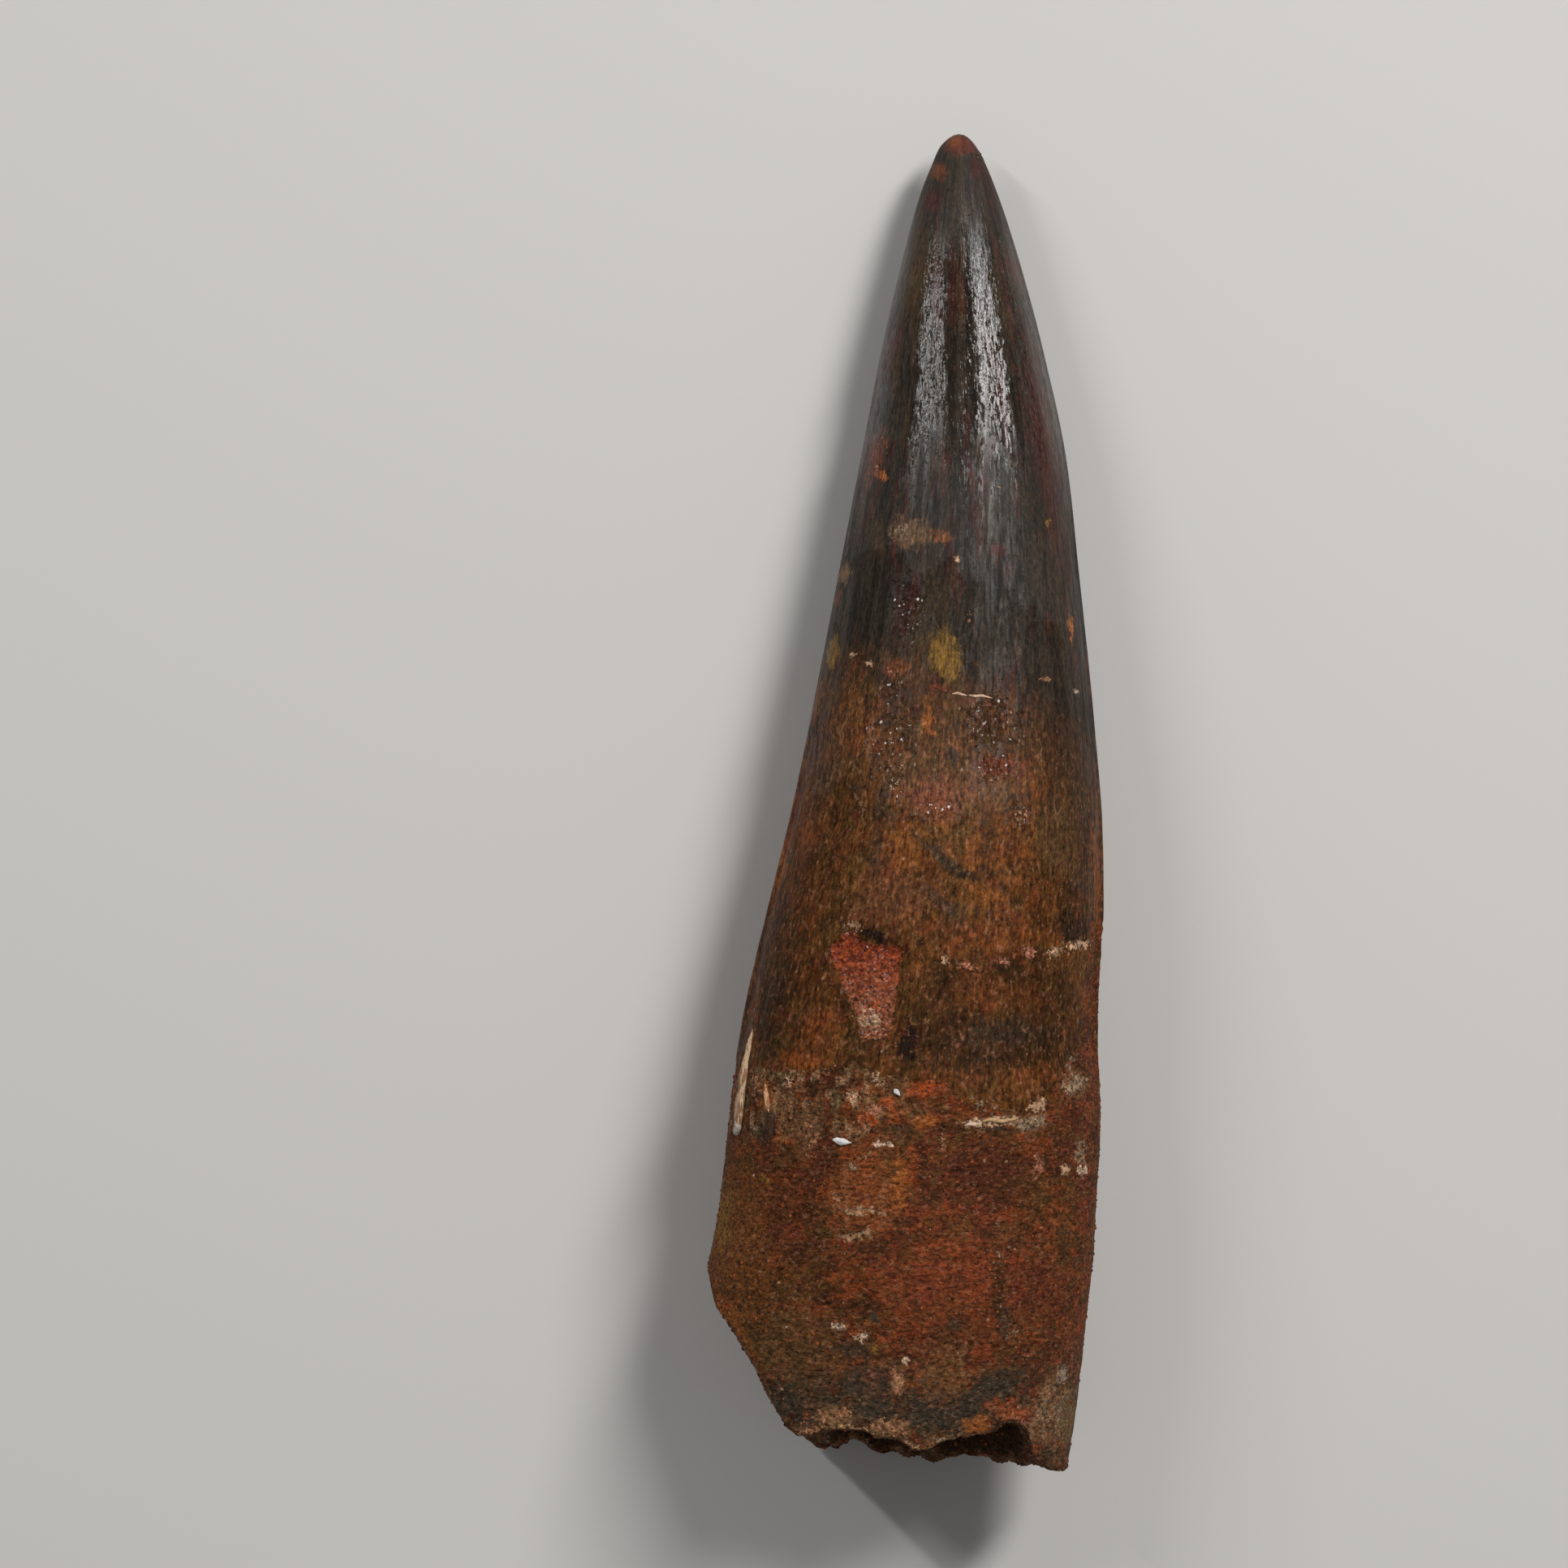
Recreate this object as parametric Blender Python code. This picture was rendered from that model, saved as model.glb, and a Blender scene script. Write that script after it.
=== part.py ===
"""A fossil spinosaurus tooth lying on its side: crown, root and broken base in one solid.

The tip points to +Y and the side that is seen faces +Z. The origin is the middle of the footprint, on the
surface that the tooth lies on. Tables are in millimetres: s runs from the tip towards the root, x runs
across the tooth from a line near the middle of the root, and z is the height. The solid is in metres.
"""

import math

import bmesh
import bpy
import numpy as np
from mathutils import Matrix, Vector, noise

MM = 0.001

# The outline seen from above: s, left edge, right edge.
OUTLINE = (
    (0.0, 3.90, 3.90),
    (0.3, 3.16, 4.62),
    (1.0, 2.47, 5.21),
    (2.3, 1.88, 5.90),
    (4.5, 1.02, 6.78),
    (9.3, -0.30, 8.34),
    (16.5, -1.98, 10.26),
    (23.7, -3.36, 11.80),
    (33.3, -5.20, 12.86),
    (44.1, -7.30, 13.92),
    (51.3, -8.82, 14.46),
    (58.5, -10.62, 14.52),
    (65.7, -12.18, 14.22),
    (72.9, -13.32, 14.34),
    (80.1, -14.12, 14.02),
    (83.7, -14.80, 13.80),
    (91.0, -15.30, 13.00),
    (99.1, -15.40, 11.90),
)

# The side view: s, height of the underside, thickness as a share of the width. Where the underside comes
# out below zero it is ground flat, and those two flats are what the tooth rests on.
SIDE = (
    (0.0, 4.75, 0.88),
    (1.0, 3.70, 0.87),
    (4.5, 2.50, 0.86),
    (9.3, 1.42, 0.85),
    (16.5, 0.44, 0.83),
    (24.0, -0.10, 0.82),
    (31.0, -0.17, 0.81),
    (44.0, 0.08, 0.80),
    (58.0, 0.20, 0.79),
    (70.0, 0.08, 0.78),
    (84.0, -0.13, 0.78),
    (99.1, 0.00, 0.78),
)

# The cutting edges (carinae): s and how far each stands out of the body. Gaps in them are old chips.
LEFT_EDGE = (
    (0, 0), (17.5, 0.02), (18.6, 0.26), (22.3, 0.26), (23.2, 0.05), (44.0, 0.10), (45.2, 0.38), (66, 0.40),
    (71, 0),
)
RIGHT_EDGE = ((0, 0), (4, 0.05), (10, 0.25), (50, 0.34), (56, 0.48), (68, 0.48), (72, 0))
EDGE_THICKNESS = 0.55
EDGE_LIMIT = 0.2

# Shallow flutes run down the crown. They begin below the tip and die out above the root.
FLUTES = 16
FLUTE_DEPTH = 0.06
FLUTE_START = (6.0, 22.0)
FLUTE_END = (57.0, 69.0)

# Unevenness: its height and the size of its lumps. The root's begins where the enamel ends, and the
# cavity's height is a share of its radius.
ROOT_LUMPS = (0.16, 7.0)
ROOT_START = (65.0, 73.0)
BREAK_LUMPS = (0.45, 1.9)
FLOOR_LUMPS = (0.50, 1.6)
CAVITY_LUMPS = (0.075, 3.4)

# The break seen from above: x and s of the near wall's edge, then of the far wall's.
NEAR_BREAK = (
    (-16.0, 82.6), (-14.8, 83.9), (-14.3, 86.8), (-13.0, 88.1), (-11.2, 91.1), (-10.3, 93.1), (-9.1, 95.0),
    (-8.0, 95.9), (-5.4, 95.4), (-3.2, 95.4), (-2.6, 95.9), (-0.8, 96.0), (0.4, 97.0), (1.5, 96.8), (2.2, 96.3),
    (5.0, 95.8), (6.3, 95.6), (6.9, 94.9), (7.6, 94.8), (8.6, 95.6), (9.1, 97.4), (10.2, 98.6), (14.0, 99.1),
)
FAR_BREAK = (
    (-16.0, 82.4), (-14.8, 83.5), (-13.0, 87.4), (-11.2, 90.4), (-9.6, 93.4), (-8.4, 95.6), (-7.4, 96.8),
    (-6.2, 97.3), (-4.0, 97.0), (-1.0, 97.8), (2.0, 98.4), (5.0, 98.0), (8.0, 98.5), (10.5, 98.9), (14.0, 99.1),
)
# The section whose middle parts the near wall from the far one, and how the one passes into the other.
BREAK_S = 95.0
BREAK_CHANGE = (-0.35, 0.45)

# The pulp cavity: an oval hole in the broken base that narrows to a floor of cemented sand.
CAVITY_X = 1.4
CAVITY_HALF_WIDTH = 7.1
CAVITY_HALF_HEIGHT = 6.5
CAVITY_FLOOR_S = 83.0
CAVITY_FLOOR_SHARE = 0.76
CAVITY_FLOOR_BULGE = 1.4

# The flake of enamel lost from the middle of the crown: its corners (x, s), its middle and its depth.
FLAKE = (
    (-5.9, 60.6), (-4.6, 58.9), (-3.0, 60.0), (-0.6, 60.3), (-0.8, 63.0), (-1.4, 66.6), (-3.2, 67.2),
    (-4.4, 64.0),
)
FLAKE_X = -3.0
FLAKE_S = 63.0
FLAKE_DEPTH = 0.40
FLAKE_REACH = 2.0
CUTTER_HEIGHT = 6.0

# The net of faces: points around, drawn closer near the cutting edges, and rings along.
AROUND = 96
EDGE_CROWDING = 0.22
CROWN_RINGS = 26
RING_SPREAD = 1.55
SHEAR_START = 70.0
ROOT_RINGS = 12
BREAK_RINGS = 3
CAVITY_RINGS = 4
FLOOR_RINGS = 3
BREAK_PASSES = 4


def table_value(table, column, s):
    """A smooth curve through one column of a table. It runs along the root of s, so the tip comes out round."""
    knots = np.sqrt([row[0] for row in table])
    values = np.array([row[column] for row in table])
    slopes = np.gradient(values, knots)
    place = math.sqrt(min(max(s, 0.0), table[-1][0]))
    i = int(min(max(np.searchsorted(knots, place) - 1, 0), len(knots) - 2))
    span = knots[i + 1] - knots[i]
    u = (place - knots[i]) / span
    along = values[i] * (1 + 2 * u) * (1 - u) ** 2 + values[i + 1] * u * u * (3 - 2 * u)
    bend = slopes[i] * u * (1 - u) ** 2 + slopes[i + 1] * u * u * (u - 1)
    return along + span * bend


def straight_value(pairs, place):
    """A broken line through (place, value) pairs."""
    return float(np.interp(place, [p[0] for p in pairs], [p[1] for p in pairs]))


def ramp(value, low, high):
    """0 below low, 1 above high and a smooth step between."""
    u = min(max((value - low) / (high - low), 0.0), 1.0)
    return u * u * (3 - 2 * u)


def lumps(x, s, z, height_and_size):
    """Smooth unevenness of the given height, in lumps of the given size."""
    height, size = height_and_size
    return height * noise.noise(Vector((x, s, z)) / size)


def section(s):
    """The middle and the half axes of the section at s: x, z, half width, half height."""
    left = table_value(OUTLINE, 1, s)
    right = table_value(OUTLINE, 2, s)
    half_width = (right - left) / 2
    half_height = half_width * table_value(SIDE, 2, s)
    return (left + right) / 2, table_value(SIDE, 1, s) + half_height, half_width, half_height


def skin_point(s, angle):
    """(x, z) of the outer surface at s. The angle is 0 at the right cutting edge and a quarter turn on top."""
    x_mid, z_mid, half_width, half_height = section(s)
    side = math.copysign(1.0, math.cos(angle))
    edge = min(straight_value(RIGHT_EDGE if side > 0 else LEFT_EDGE, s), EDGE_LIMIT * half_width)
    blade = edge * math.exp(-((half_height * math.sin(angle) / EDGE_THICKNESS) ** 2))
    flute = FLUTE_DEPTH * ramp(s, *FLUTE_START) * (1 - ramp(s, *FLUTE_END)) * math.cos(FLUTES * angle)
    x = (half_width - edge - flute) * math.cos(angle) + side * blade
    z = (half_height - flute) * math.sin(angle)
    swell = 1 + ramp(s, *ROOT_START) * lumps(x, s, z, ROOT_LUMPS) / half_width
    return x_mid + x * swell, max(z_mid + z * swell, 0.0)


def break_s(x, z):
    """Where the tooth is broken off at this place across it. The near wall is shorter than the far one."""
    _, z_mid, _, half_height = section(BREAK_S)
    near = ramp((z - z_mid) / half_height, *BREAK_CHANGE)
    return near * straight_value(NEAR_BREAK, x) + (1 - near) * straight_value(FAR_BREAK, x)


def root_ring(share, angles):
    """A ring of the root's outside. The rings slant more and more, and at share 1 they meet the break."""
    ring = []
    for angle in angles:
        end = BREAK_S
        for _ in range(BREAK_PASSES):
            end = break_s(*skin_point(end, angle))
        s = SHEAR_START + (end - SHEAR_START) * share
        x, z = skin_point(s, angle)
        ring.append((x, s, z))
    return ring


def cavity_point(angle, share):
    """(x, z) of the cavity's wall. The share is 1 at the mouth and 0 in the middle of the floor."""
    _, z_mid, _, _ = section(BREAK_S)
    x = CAVITY_HALF_WIDTH * math.cos(angle)
    z = CAVITY_HALF_HEIGHT * math.sin(angle)
    reach = share * (1 + lumps(x, 0.0, z, CAVITY_LUMPS))
    return CAVITY_X + x * reach, z_mid + z * reach


def break_ring(rim, angles, share):
    """A ring of the rough broken face, between the outside (share 0) and the cavity's mouth (share 1)."""
    ring = []
    for angle, (x_rim, _, z_rim) in zip(angles, rim):
        x_mouth, z_mouth = cavity_point(angle, 1.0)
        x = x_rim + (x_mouth - x_rim) * share
        z = z_rim + (z_mouth - z_rim) * share
        ring.append((x, break_s(x, z) + lumps(x, 0.0, z, BREAK_LUMPS), z))
    return ring


def cavity_ring(mouth, angles, share):
    """A ring of the cavity's wall, from its mouth (share 0) to its floor (share 1)."""
    ring = []
    for angle, (_, s_mouth, _) in zip(angles, mouth):
        x, z = cavity_point(angle, 1 - (1 - CAVITY_FLOOR_SHARE) * share)
        ring.append((x, s_mouth + (CAVITY_FLOOR_S - s_mouth) * share, z))
    return ring


def floor_ring(angles, share):
    """A ring of the cavity's floor, from its wall (share 0) to its middle (share 1)."""
    ring = []
    for angle in angles:
        x, z = cavity_point(angle, CAVITY_FLOOR_SHARE * (1 - share))
        s = CAVITY_FLOOR_S + CAVITY_FLOOR_BULGE * share + lumps(x, CAVITY_FLOOR_S, z, FLOOR_LUMPS)
        ring.append((x, s, z))
    return ring


def rings_of_tooth():
    """Every ring in order, from beside the tip, down the outside, over the break and into the cavity."""
    turns = [2 * math.pi * j / AROUND for j in range(AROUND)]
    angles = [t - EDGE_CROWDING * math.sin(2 * t) for t in turns]
    rings = []
    for i in range(1, CROWN_RINGS + 1):
        s = SHEAR_START * (i / CROWN_RINGS) ** RING_SPREAD
        rings.append([(x, s, z) for x, z in (skin_point(s, angle) for angle in angles)])
    rings += [root_ring(i / ROOT_RINGS, angles) for i in range(1, ROOT_RINGS + 1)]
    rim = rings[-1]
    rings += [break_ring(rim, angles, i / BREAK_RINGS) for i in range(1, BREAK_RINGS + 1)]
    mouth = rings[-1]
    rings += [cavity_ring(mouth, angles, i / CAVITY_RINGS) for i in range(1, CAVITY_RINGS + 1)]
    rings += [floor_ring(angles, i / FLOOR_RINGS) for i in range(1, FLOOR_RINGS)]
    return rings


def to_frame(x, s, z):
    """From millimetres along and across the tooth to metres with the tip at +Y."""
    return Vector((x * MM, -s * MM, z * MM))


def finish_mesh(shape, name):
    """Turn the faces outwards and keep the shape as a mesh."""
    bmesh.ops.recalc_face_normals(shape, faces=shape.faces)
    mesh = bpy.data.meshes.new(name)
    shape.to_mesh(mesh)
    shape.free()
    return mesh


def make_tooth_mesh():
    """The tooth before its flake came off: rings joined one to the next, closed at the tip and at the floor."""
    shape = bmesh.new()
    rings = [[shape.verts.new(to_frame(*point)) for point in ring] for ring in rings_of_tooth()]
    x_tip, z_tip, _, _ = section(0.0)
    tip = shape.verts.new(to_frame(x_tip, 0.0, z_tip))
    x_floor, z_floor = cavity_point(0.0, 0.0)
    floor = shape.verts.new(to_frame(x_floor, CAVITY_FLOOR_S + CAVITY_FLOOR_BULGE, z_floor))
    for j in range(AROUND):
        k = (j + 1) % AROUND
        shape.faces.new((tip, rings[0][j], rings[0][k]))
        for upper, lower in zip(rings, rings[1:]):
            shape.faces.new((upper[k], upper[j], lower[j], lower[k]))
        shape.faces.new((floor, rings[-1][k], rings[-1][j]))
    return finish_mesh(shape, "tooth")


def top_height(x, s):
    """Height of the crown's upper side."""
    x_mid, z_mid, half_width, half_height = section(s)
    return z_mid + half_height * math.sqrt(max(1 - ((x - x_mid) / half_width) ** 2, 0.0))


def make_flake_cutter():
    """A block with the lost flake's outline. Its lower face lies under the enamel and leans with it."""
    level = top_height(FLAKE_X, FLAKE_S)
    lean = (top_height(FLAKE_X + FLAKE_REACH, FLAKE_S) - level) / FLAKE_REACH
    rise = (top_height(FLAKE_X, FLAKE_S + FLAKE_REACH) - level) / FLAKE_REACH
    shape = bmesh.new()
    corners = [(x, s, level - FLAKE_DEPTH + lean * (x - FLAKE_X) + rise * (s - FLAKE_S)) for x, s in FLAKE]
    bed = shape.faces.new([shape.verts.new(to_frame(*corner)) for corner in corners])
    block = bmesh.ops.extrude_face_region(shape, geom=[bed])
    raised = [v for v in block["geom"] if isinstance(v, bmesh.types.BMVert)]
    bmesh.ops.translate(shape, verts=raised, vec=Vector((0, 0, CUTTER_HEIGHT * MM)))
    return finish_mesh(shape, "lost_flake")


def fossil_material():
    """Enamel and dentine, stained dark brown by iron in the ground."""
    material = bpy.data.materials.new("fossil")
    material.use_nodes = True
    surface = material.node_tree.nodes["Principled BSDF"]
    surface.inputs["Base Color"].default_value = (0.085, 0.040, 0.024, 1.0)
    surface.inputs["Roughness"].default_value = 0.45
    surface.inputs["Metallic"].default_value = 0.0
    return material


def main():
    for obj in list(bpy.data.objects):
        bpy.data.objects.remove(obj)
    tooth = bpy.data.objects.new("tooth", make_tooth_mesh())
    tooth.data.materials.append(fossil_material())
    tooth.data.shade_smooth()
    cutter = bpy.data.objects.new("lost_flake", make_flake_cutter())
    cutter.hide_render = True
    cutter.display_type = "WIRE"
    corners = np.array([v.co for v in tooth.data.vertices])
    footprint = (corners.min(axis=0) + corners.max(axis=0)) / 2
    for obj in (tooth, cutter):
        obj.data.transform(Matrix.Translation((-footprint[0], -footprint[1], 0.0)))
        bpy.context.scene.collection.objects.link(obj)
    cut = tooth.modifiers.new("lost_flake", "BOOLEAN")
    cut.operation = "DIFFERENCE"
    cut.object = cutter


main()
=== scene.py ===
"""A fossil spinosaurus tooth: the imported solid's finish, and the sand, crumbs and chips that cling to it."""

import math

import bmesh
import bpy
import numpy as np
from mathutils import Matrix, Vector, noise


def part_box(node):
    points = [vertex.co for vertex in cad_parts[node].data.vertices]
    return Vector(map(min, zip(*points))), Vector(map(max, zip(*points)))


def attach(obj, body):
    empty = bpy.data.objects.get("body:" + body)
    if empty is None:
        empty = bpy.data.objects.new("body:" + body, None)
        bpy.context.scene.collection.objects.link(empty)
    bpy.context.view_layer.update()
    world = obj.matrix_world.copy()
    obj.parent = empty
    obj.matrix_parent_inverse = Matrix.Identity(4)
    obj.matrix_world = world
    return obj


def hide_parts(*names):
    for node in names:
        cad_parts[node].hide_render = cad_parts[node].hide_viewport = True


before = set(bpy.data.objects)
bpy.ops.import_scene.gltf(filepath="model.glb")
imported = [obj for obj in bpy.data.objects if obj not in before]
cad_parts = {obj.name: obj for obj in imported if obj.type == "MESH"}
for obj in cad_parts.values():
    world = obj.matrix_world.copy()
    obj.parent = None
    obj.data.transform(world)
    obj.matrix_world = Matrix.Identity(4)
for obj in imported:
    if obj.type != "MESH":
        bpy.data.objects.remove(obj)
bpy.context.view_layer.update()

# The tooth itself: a tall cone of dentine under a skin of enamel, with a long root below it, all grown as
# one piece. Iron in the ground stained it brown and black. The root is broken off, its pulp cavity open.
MM = 0.001
# Seen from above: s (mm from the tip), left edge, right edge.
OUTLINE = (
    (0.0, 3.90, 3.90), (0.3, 3.16, 4.62), (1.0, 2.47, 5.21), (2.3, 1.88, 5.90), (4.5, 1.02, 6.78),
    (9.3, -0.30, 8.34), (16.5, -1.98, 10.26), (23.7, -3.36, 11.80), (33.3, -5.20, 12.86),
    (44.1, -7.30, 13.92), (51.3, -8.82, 14.46), (58.5, -10.62, 14.52), (65.7, -12.18, 14.22),
    (72.9, -13.32, 14.34), (80.1, -14.12, 14.02), (83.7, -14.80, 13.80), (91.0, -15.30, 13.00),
    (99.1, -15.40, 11.90),
)
# Seen from the side: s, height of the underside, thickness as a share of the width.
SIDE = (
    (0.0, 4.75, 0.88), (1.0, 3.70, 0.87), (4.5, 2.50, 0.86), (9.3, 1.42, 0.85), (16.5, 0.44, 0.83),
    (24.0, -0.10, 0.82), (31.0, -0.17, 0.81), (44.0, 0.08, 0.80), (58.0, 0.20, 0.79), (70.0, 0.08, 0.78),
    (84.0, -0.13, 0.78), (99.1, 0.00, 0.78),
)
# The two cutting edges: s and how far each stands out.
LEFT_EDGE = (
    (0, 0), (17.5, 0.02), (18.6, 0.26), (22.3, 0.26), (23.2, 0.05), (44.0, 0.10), (45.2, 0.38), (66, 0.40),
    (71, 0),
)
RIGHT_EDGE = ((0, 0), (4, 0.05), (10, 0.25), (50, 0.34), (56, 0.48), (68, 0.48), (72, 0))
EDGE_THICKNESS = 0.55
EDGE_LIMIT = 0.2
FLUTES = 16
FLUTE_DEPTH = 0.03
FLUTE_START = (6.0, 22.0)
FLUTE_END = (57.0, 69.0)
ROOT_LUMPS = (0.16, 7.0)
ROOT_START = (65.0, 73.0)
BREAK_LUMPS = (0.45, 1.9)
FLOOR_LUMPS = (0.50, 1.6)
CAVITY_LUMPS = (0.075, 3.4)
# The broken end: x and s of the near wall's edge, then of the far wall's.
NEAR_BREAK = (
    (-16.0, 82.6), (-14.8, 83.9), (-14.3, 86.8), (-13.0, 88.1), (-11.2, 91.1), (-10.3, 93.1), (-9.1, 95.0),
    (-8.0, 95.9), (-5.4, 95.4), (-3.2, 95.4), (-2.6, 95.9), (-0.8, 96.0), (0.4, 97.0), (1.5, 96.8),
    (2.2, 96.3), (5.0, 95.8), (6.3, 95.6), (6.9, 94.9), (7.6, 94.8), (8.6, 95.6), (9.1, 97.4), (10.2, 98.6),
    (14.0, 99.1),
)
FAR_BREAK = (
    (-16.0, 82.4), (-14.8, 83.5), (-13.0, 87.4), (-11.2, 90.4), (-9.6, 93.4), (-8.4, 95.6), (-7.4, 96.8),
    (-6.2, 97.3), (-4.0, 97.0), (-1.0, 97.8), (2.0, 98.4), (5.0, 98.0), (8.0, 98.5), (10.5, 98.9),
    (14.0, 99.1),
)
BREAK_S = 95.0
BREAK_CHANGE = (-0.35, 0.45)
# The far wall's edge is splintered: height and size of its teeth.
BREAK_TEETH = (0.8, 1.5)
CAVITY = {"x": 1.4, "half_width": 7.1, "half_height": 6.5, "floor_s": 83.0, "floor_share": 0.76, "bulge": 1.4}
# The flake of enamel lost from the crown: corners (x, s).
FLAKE = (
    (-5.9, 60.6), (-4.6, 58.9), (-3.0, 60.0), (-0.6, 60.3), (-0.8, 63.0), (-1.4, 66.6), (-3.2, 67.2),
    (-4.4, 64.0),
)
# Where the dark enamel turns brown: x, s.
BROWN_START = ((-15.0, 40.0), (-2.0, 40.6), (1.5, 41.2), (5.0, 42.0), (8.5, 43.6), (12.0, 46.6), (15.0, 48.5))
# Where the enamel ends above the root: x, s. A strip beside the right edge has lost its enamel too.
ENAMEL_END = (
    (-15.0, 68.0), (-13.5, 68.6), (-11.0, 69.2), (-7.0, 69.3), (-4.0, 68.6), (-1.5, 69.7), (2.5, 69.9),
    (4.5, 71.8), (8.5, 72.6), (10.3, 71.4), (11.5, 68.8), (15.0, 67.4),
)
BARE_STRIP = (
    (13.2, 60.6), (13.1, 63.6), (13.0, 66.4), (12.2, 68.4), (16.0, 68.4), (16.0, 58.6), (13.6, 59.2),
)
# Where the satin and the worn finish begin, in mm from the line where the enamel turns brown.
SATIN_FROM = -9.0
WORN_FROM = 8.0
# Where the brown enamel's upper finish hands over to its lower one, and the root's neck to its base.
LOWER_START = 57.0
BASE_START = 80.0
# Lime lines the near wall's rim: how wide, and where across the tooth it sets in and fades.
RIM_WIDTH = 0.45
RIM_FROM = (-10.0, -8.0)
RIM_TO = (2.5, 4.5)
# Glazed, pebbly spots that glitter, where the painted glints are also thickest: x, s, half width, half length.
GLAZE = (
    (0.1, 35.4, 1.2, 2.6), (-1.3, 41.0, 0.9, 1.6), (-1.3, 45.1, 1.7, 2.4), (-1.0, 48.4, 0.7, 1.6),
    (6.2, 43.8, 1.9, 1.9), (6.5, 47.2, 1.5, 0.9), (8.0, 50.6, 0.9, 0.8), (2.2, 50.4, 1.8, 0.6),
)
# The net of faces that carries the relief.
AROUND = 248
CROWN_RINGS = 250
RING_SPREAD = 1.2
SHEAR_START = 70.0
ROOT_RINGS = 88
BREAK_RINGS = 16
CAVITY_RINGS = 20
FLOOR_RINGS = 8
BREAK_PASSES = 4


def curve(table, column, s):
    """A smooth curve through one column of a table. It runs along the root of s, which rounds the tip."""
    knots = np.sqrt([row[0] for row in table])
    values = np.array([row[column] for row in table])
    slopes = np.gradient(values, knots)
    place = np.sqrt(np.clip(s, 0.0, table[-1][0]))
    i = np.clip(np.searchsorted(knots, place) - 1, 0, len(knots) - 2)
    span = knots[i + 1] - knots[i]
    u = (place - knots[i]) / span
    along = values[i] * (1 + 2 * u) * (1 - u) ** 2 + values[i + 1] * u * u * (3 - 2 * u)
    return along + span * (slopes[i] * u * (1 - u) ** 2 + slopes[i + 1] * u * u * (u - 1))


def line(pairs, place):
    """A broken line through (place, value) pairs."""
    return np.interp(place, [p[0] for p in pairs], [p[1] for p in pairs])


def step(value, low, high):
    """0 below low, 1 above high and a smooth step between."""
    u = np.clip((value - low) / (high - low), 0.0, 1.0)
    return u * u * (3 - 2 * u)


def lumps(x, s, z, height_and_size):
    """Smooth unevenness of the given height, in lumps of the given size."""
    height, size = height_and_size
    points = np.stack(np.broadcast_arrays(x, s, z), axis=-1) / size
    values = [noise.noise(Vector(p)) for p in points.reshape(-1, 3)]
    return height * np.array(values).reshape(points.shape[:-1])


def section(s):
    """The middle and the half axes of the section at s: x, z, half width, half height."""
    left = curve(OUTLINE, 1, s)
    right = curve(OUTLINE, 2, s)
    half_width = (right - left) / 2
    half_height = half_width * curve(SIDE, 2, s)
    return (left + right) / 2, curve(SIDE, 1, s) + half_height, half_width, half_height


def skin(s, angle):
    """(x, z) of the outer surface. The angle is 0 at the right cutting edge and a quarter turn on top."""
    x_mid, z_mid, half_width, half_height = section(s)
    side = np.where(np.cos(angle) >= 0, 1.0, -1.0)
    edge = np.where(side > 0, line(RIGHT_EDGE, s), line(LEFT_EDGE, s))
    edge = np.minimum(edge, EDGE_LIMIT * half_width)
    blade = edge * np.exp(-((half_height * np.sin(angle) / EDGE_THICKNESS) ** 2))
    flute = FLUTE_DEPTH * step(s, *FLUTE_START) * (1 - step(s, *FLUTE_END)) * np.cos(FLUTES * angle)
    x = (half_width - edge - flute) * np.cos(angle) + side * blade
    z = (half_height - flute) * np.sin(angle)
    swell = 1 + step(s, *ROOT_START) * lumps(x, s, z, ROOT_LUMPS) / np.maximum(half_width, MM)
    return x_mid + x * swell, z_mid + z * swell


def break_at(x, z):
    """Where the tooth is broken off at this place across it."""
    _, z_mid, _, half_height = section(BREAK_S)
    near = step((z - z_mid) / half_height, *BREAK_CHANGE)
    far = line(FAR_BREAK, x) + lumps(x, z, 0.0, BREAK_TEETH)
    return near * line(NEAR_BREAK, x) + (1 - near) * far


def cavity_wall(angle, share):
    """(x, z) of the pulp cavity's wall. The share is 1 at the mouth and 0 in the middle of the floor."""
    _, z_mid, _, _ = section(BREAK_S)
    x = CAVITY["half_width"] * np.cos(angle)
    z = CAVITY["half_height"] * np.sin(angle)
    reach = share * (1 + lumps(x, 0.0, z, CAVITY_LUMPS))
    return CAVITY["x"] + x * reach, z_mid + z * reach


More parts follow.
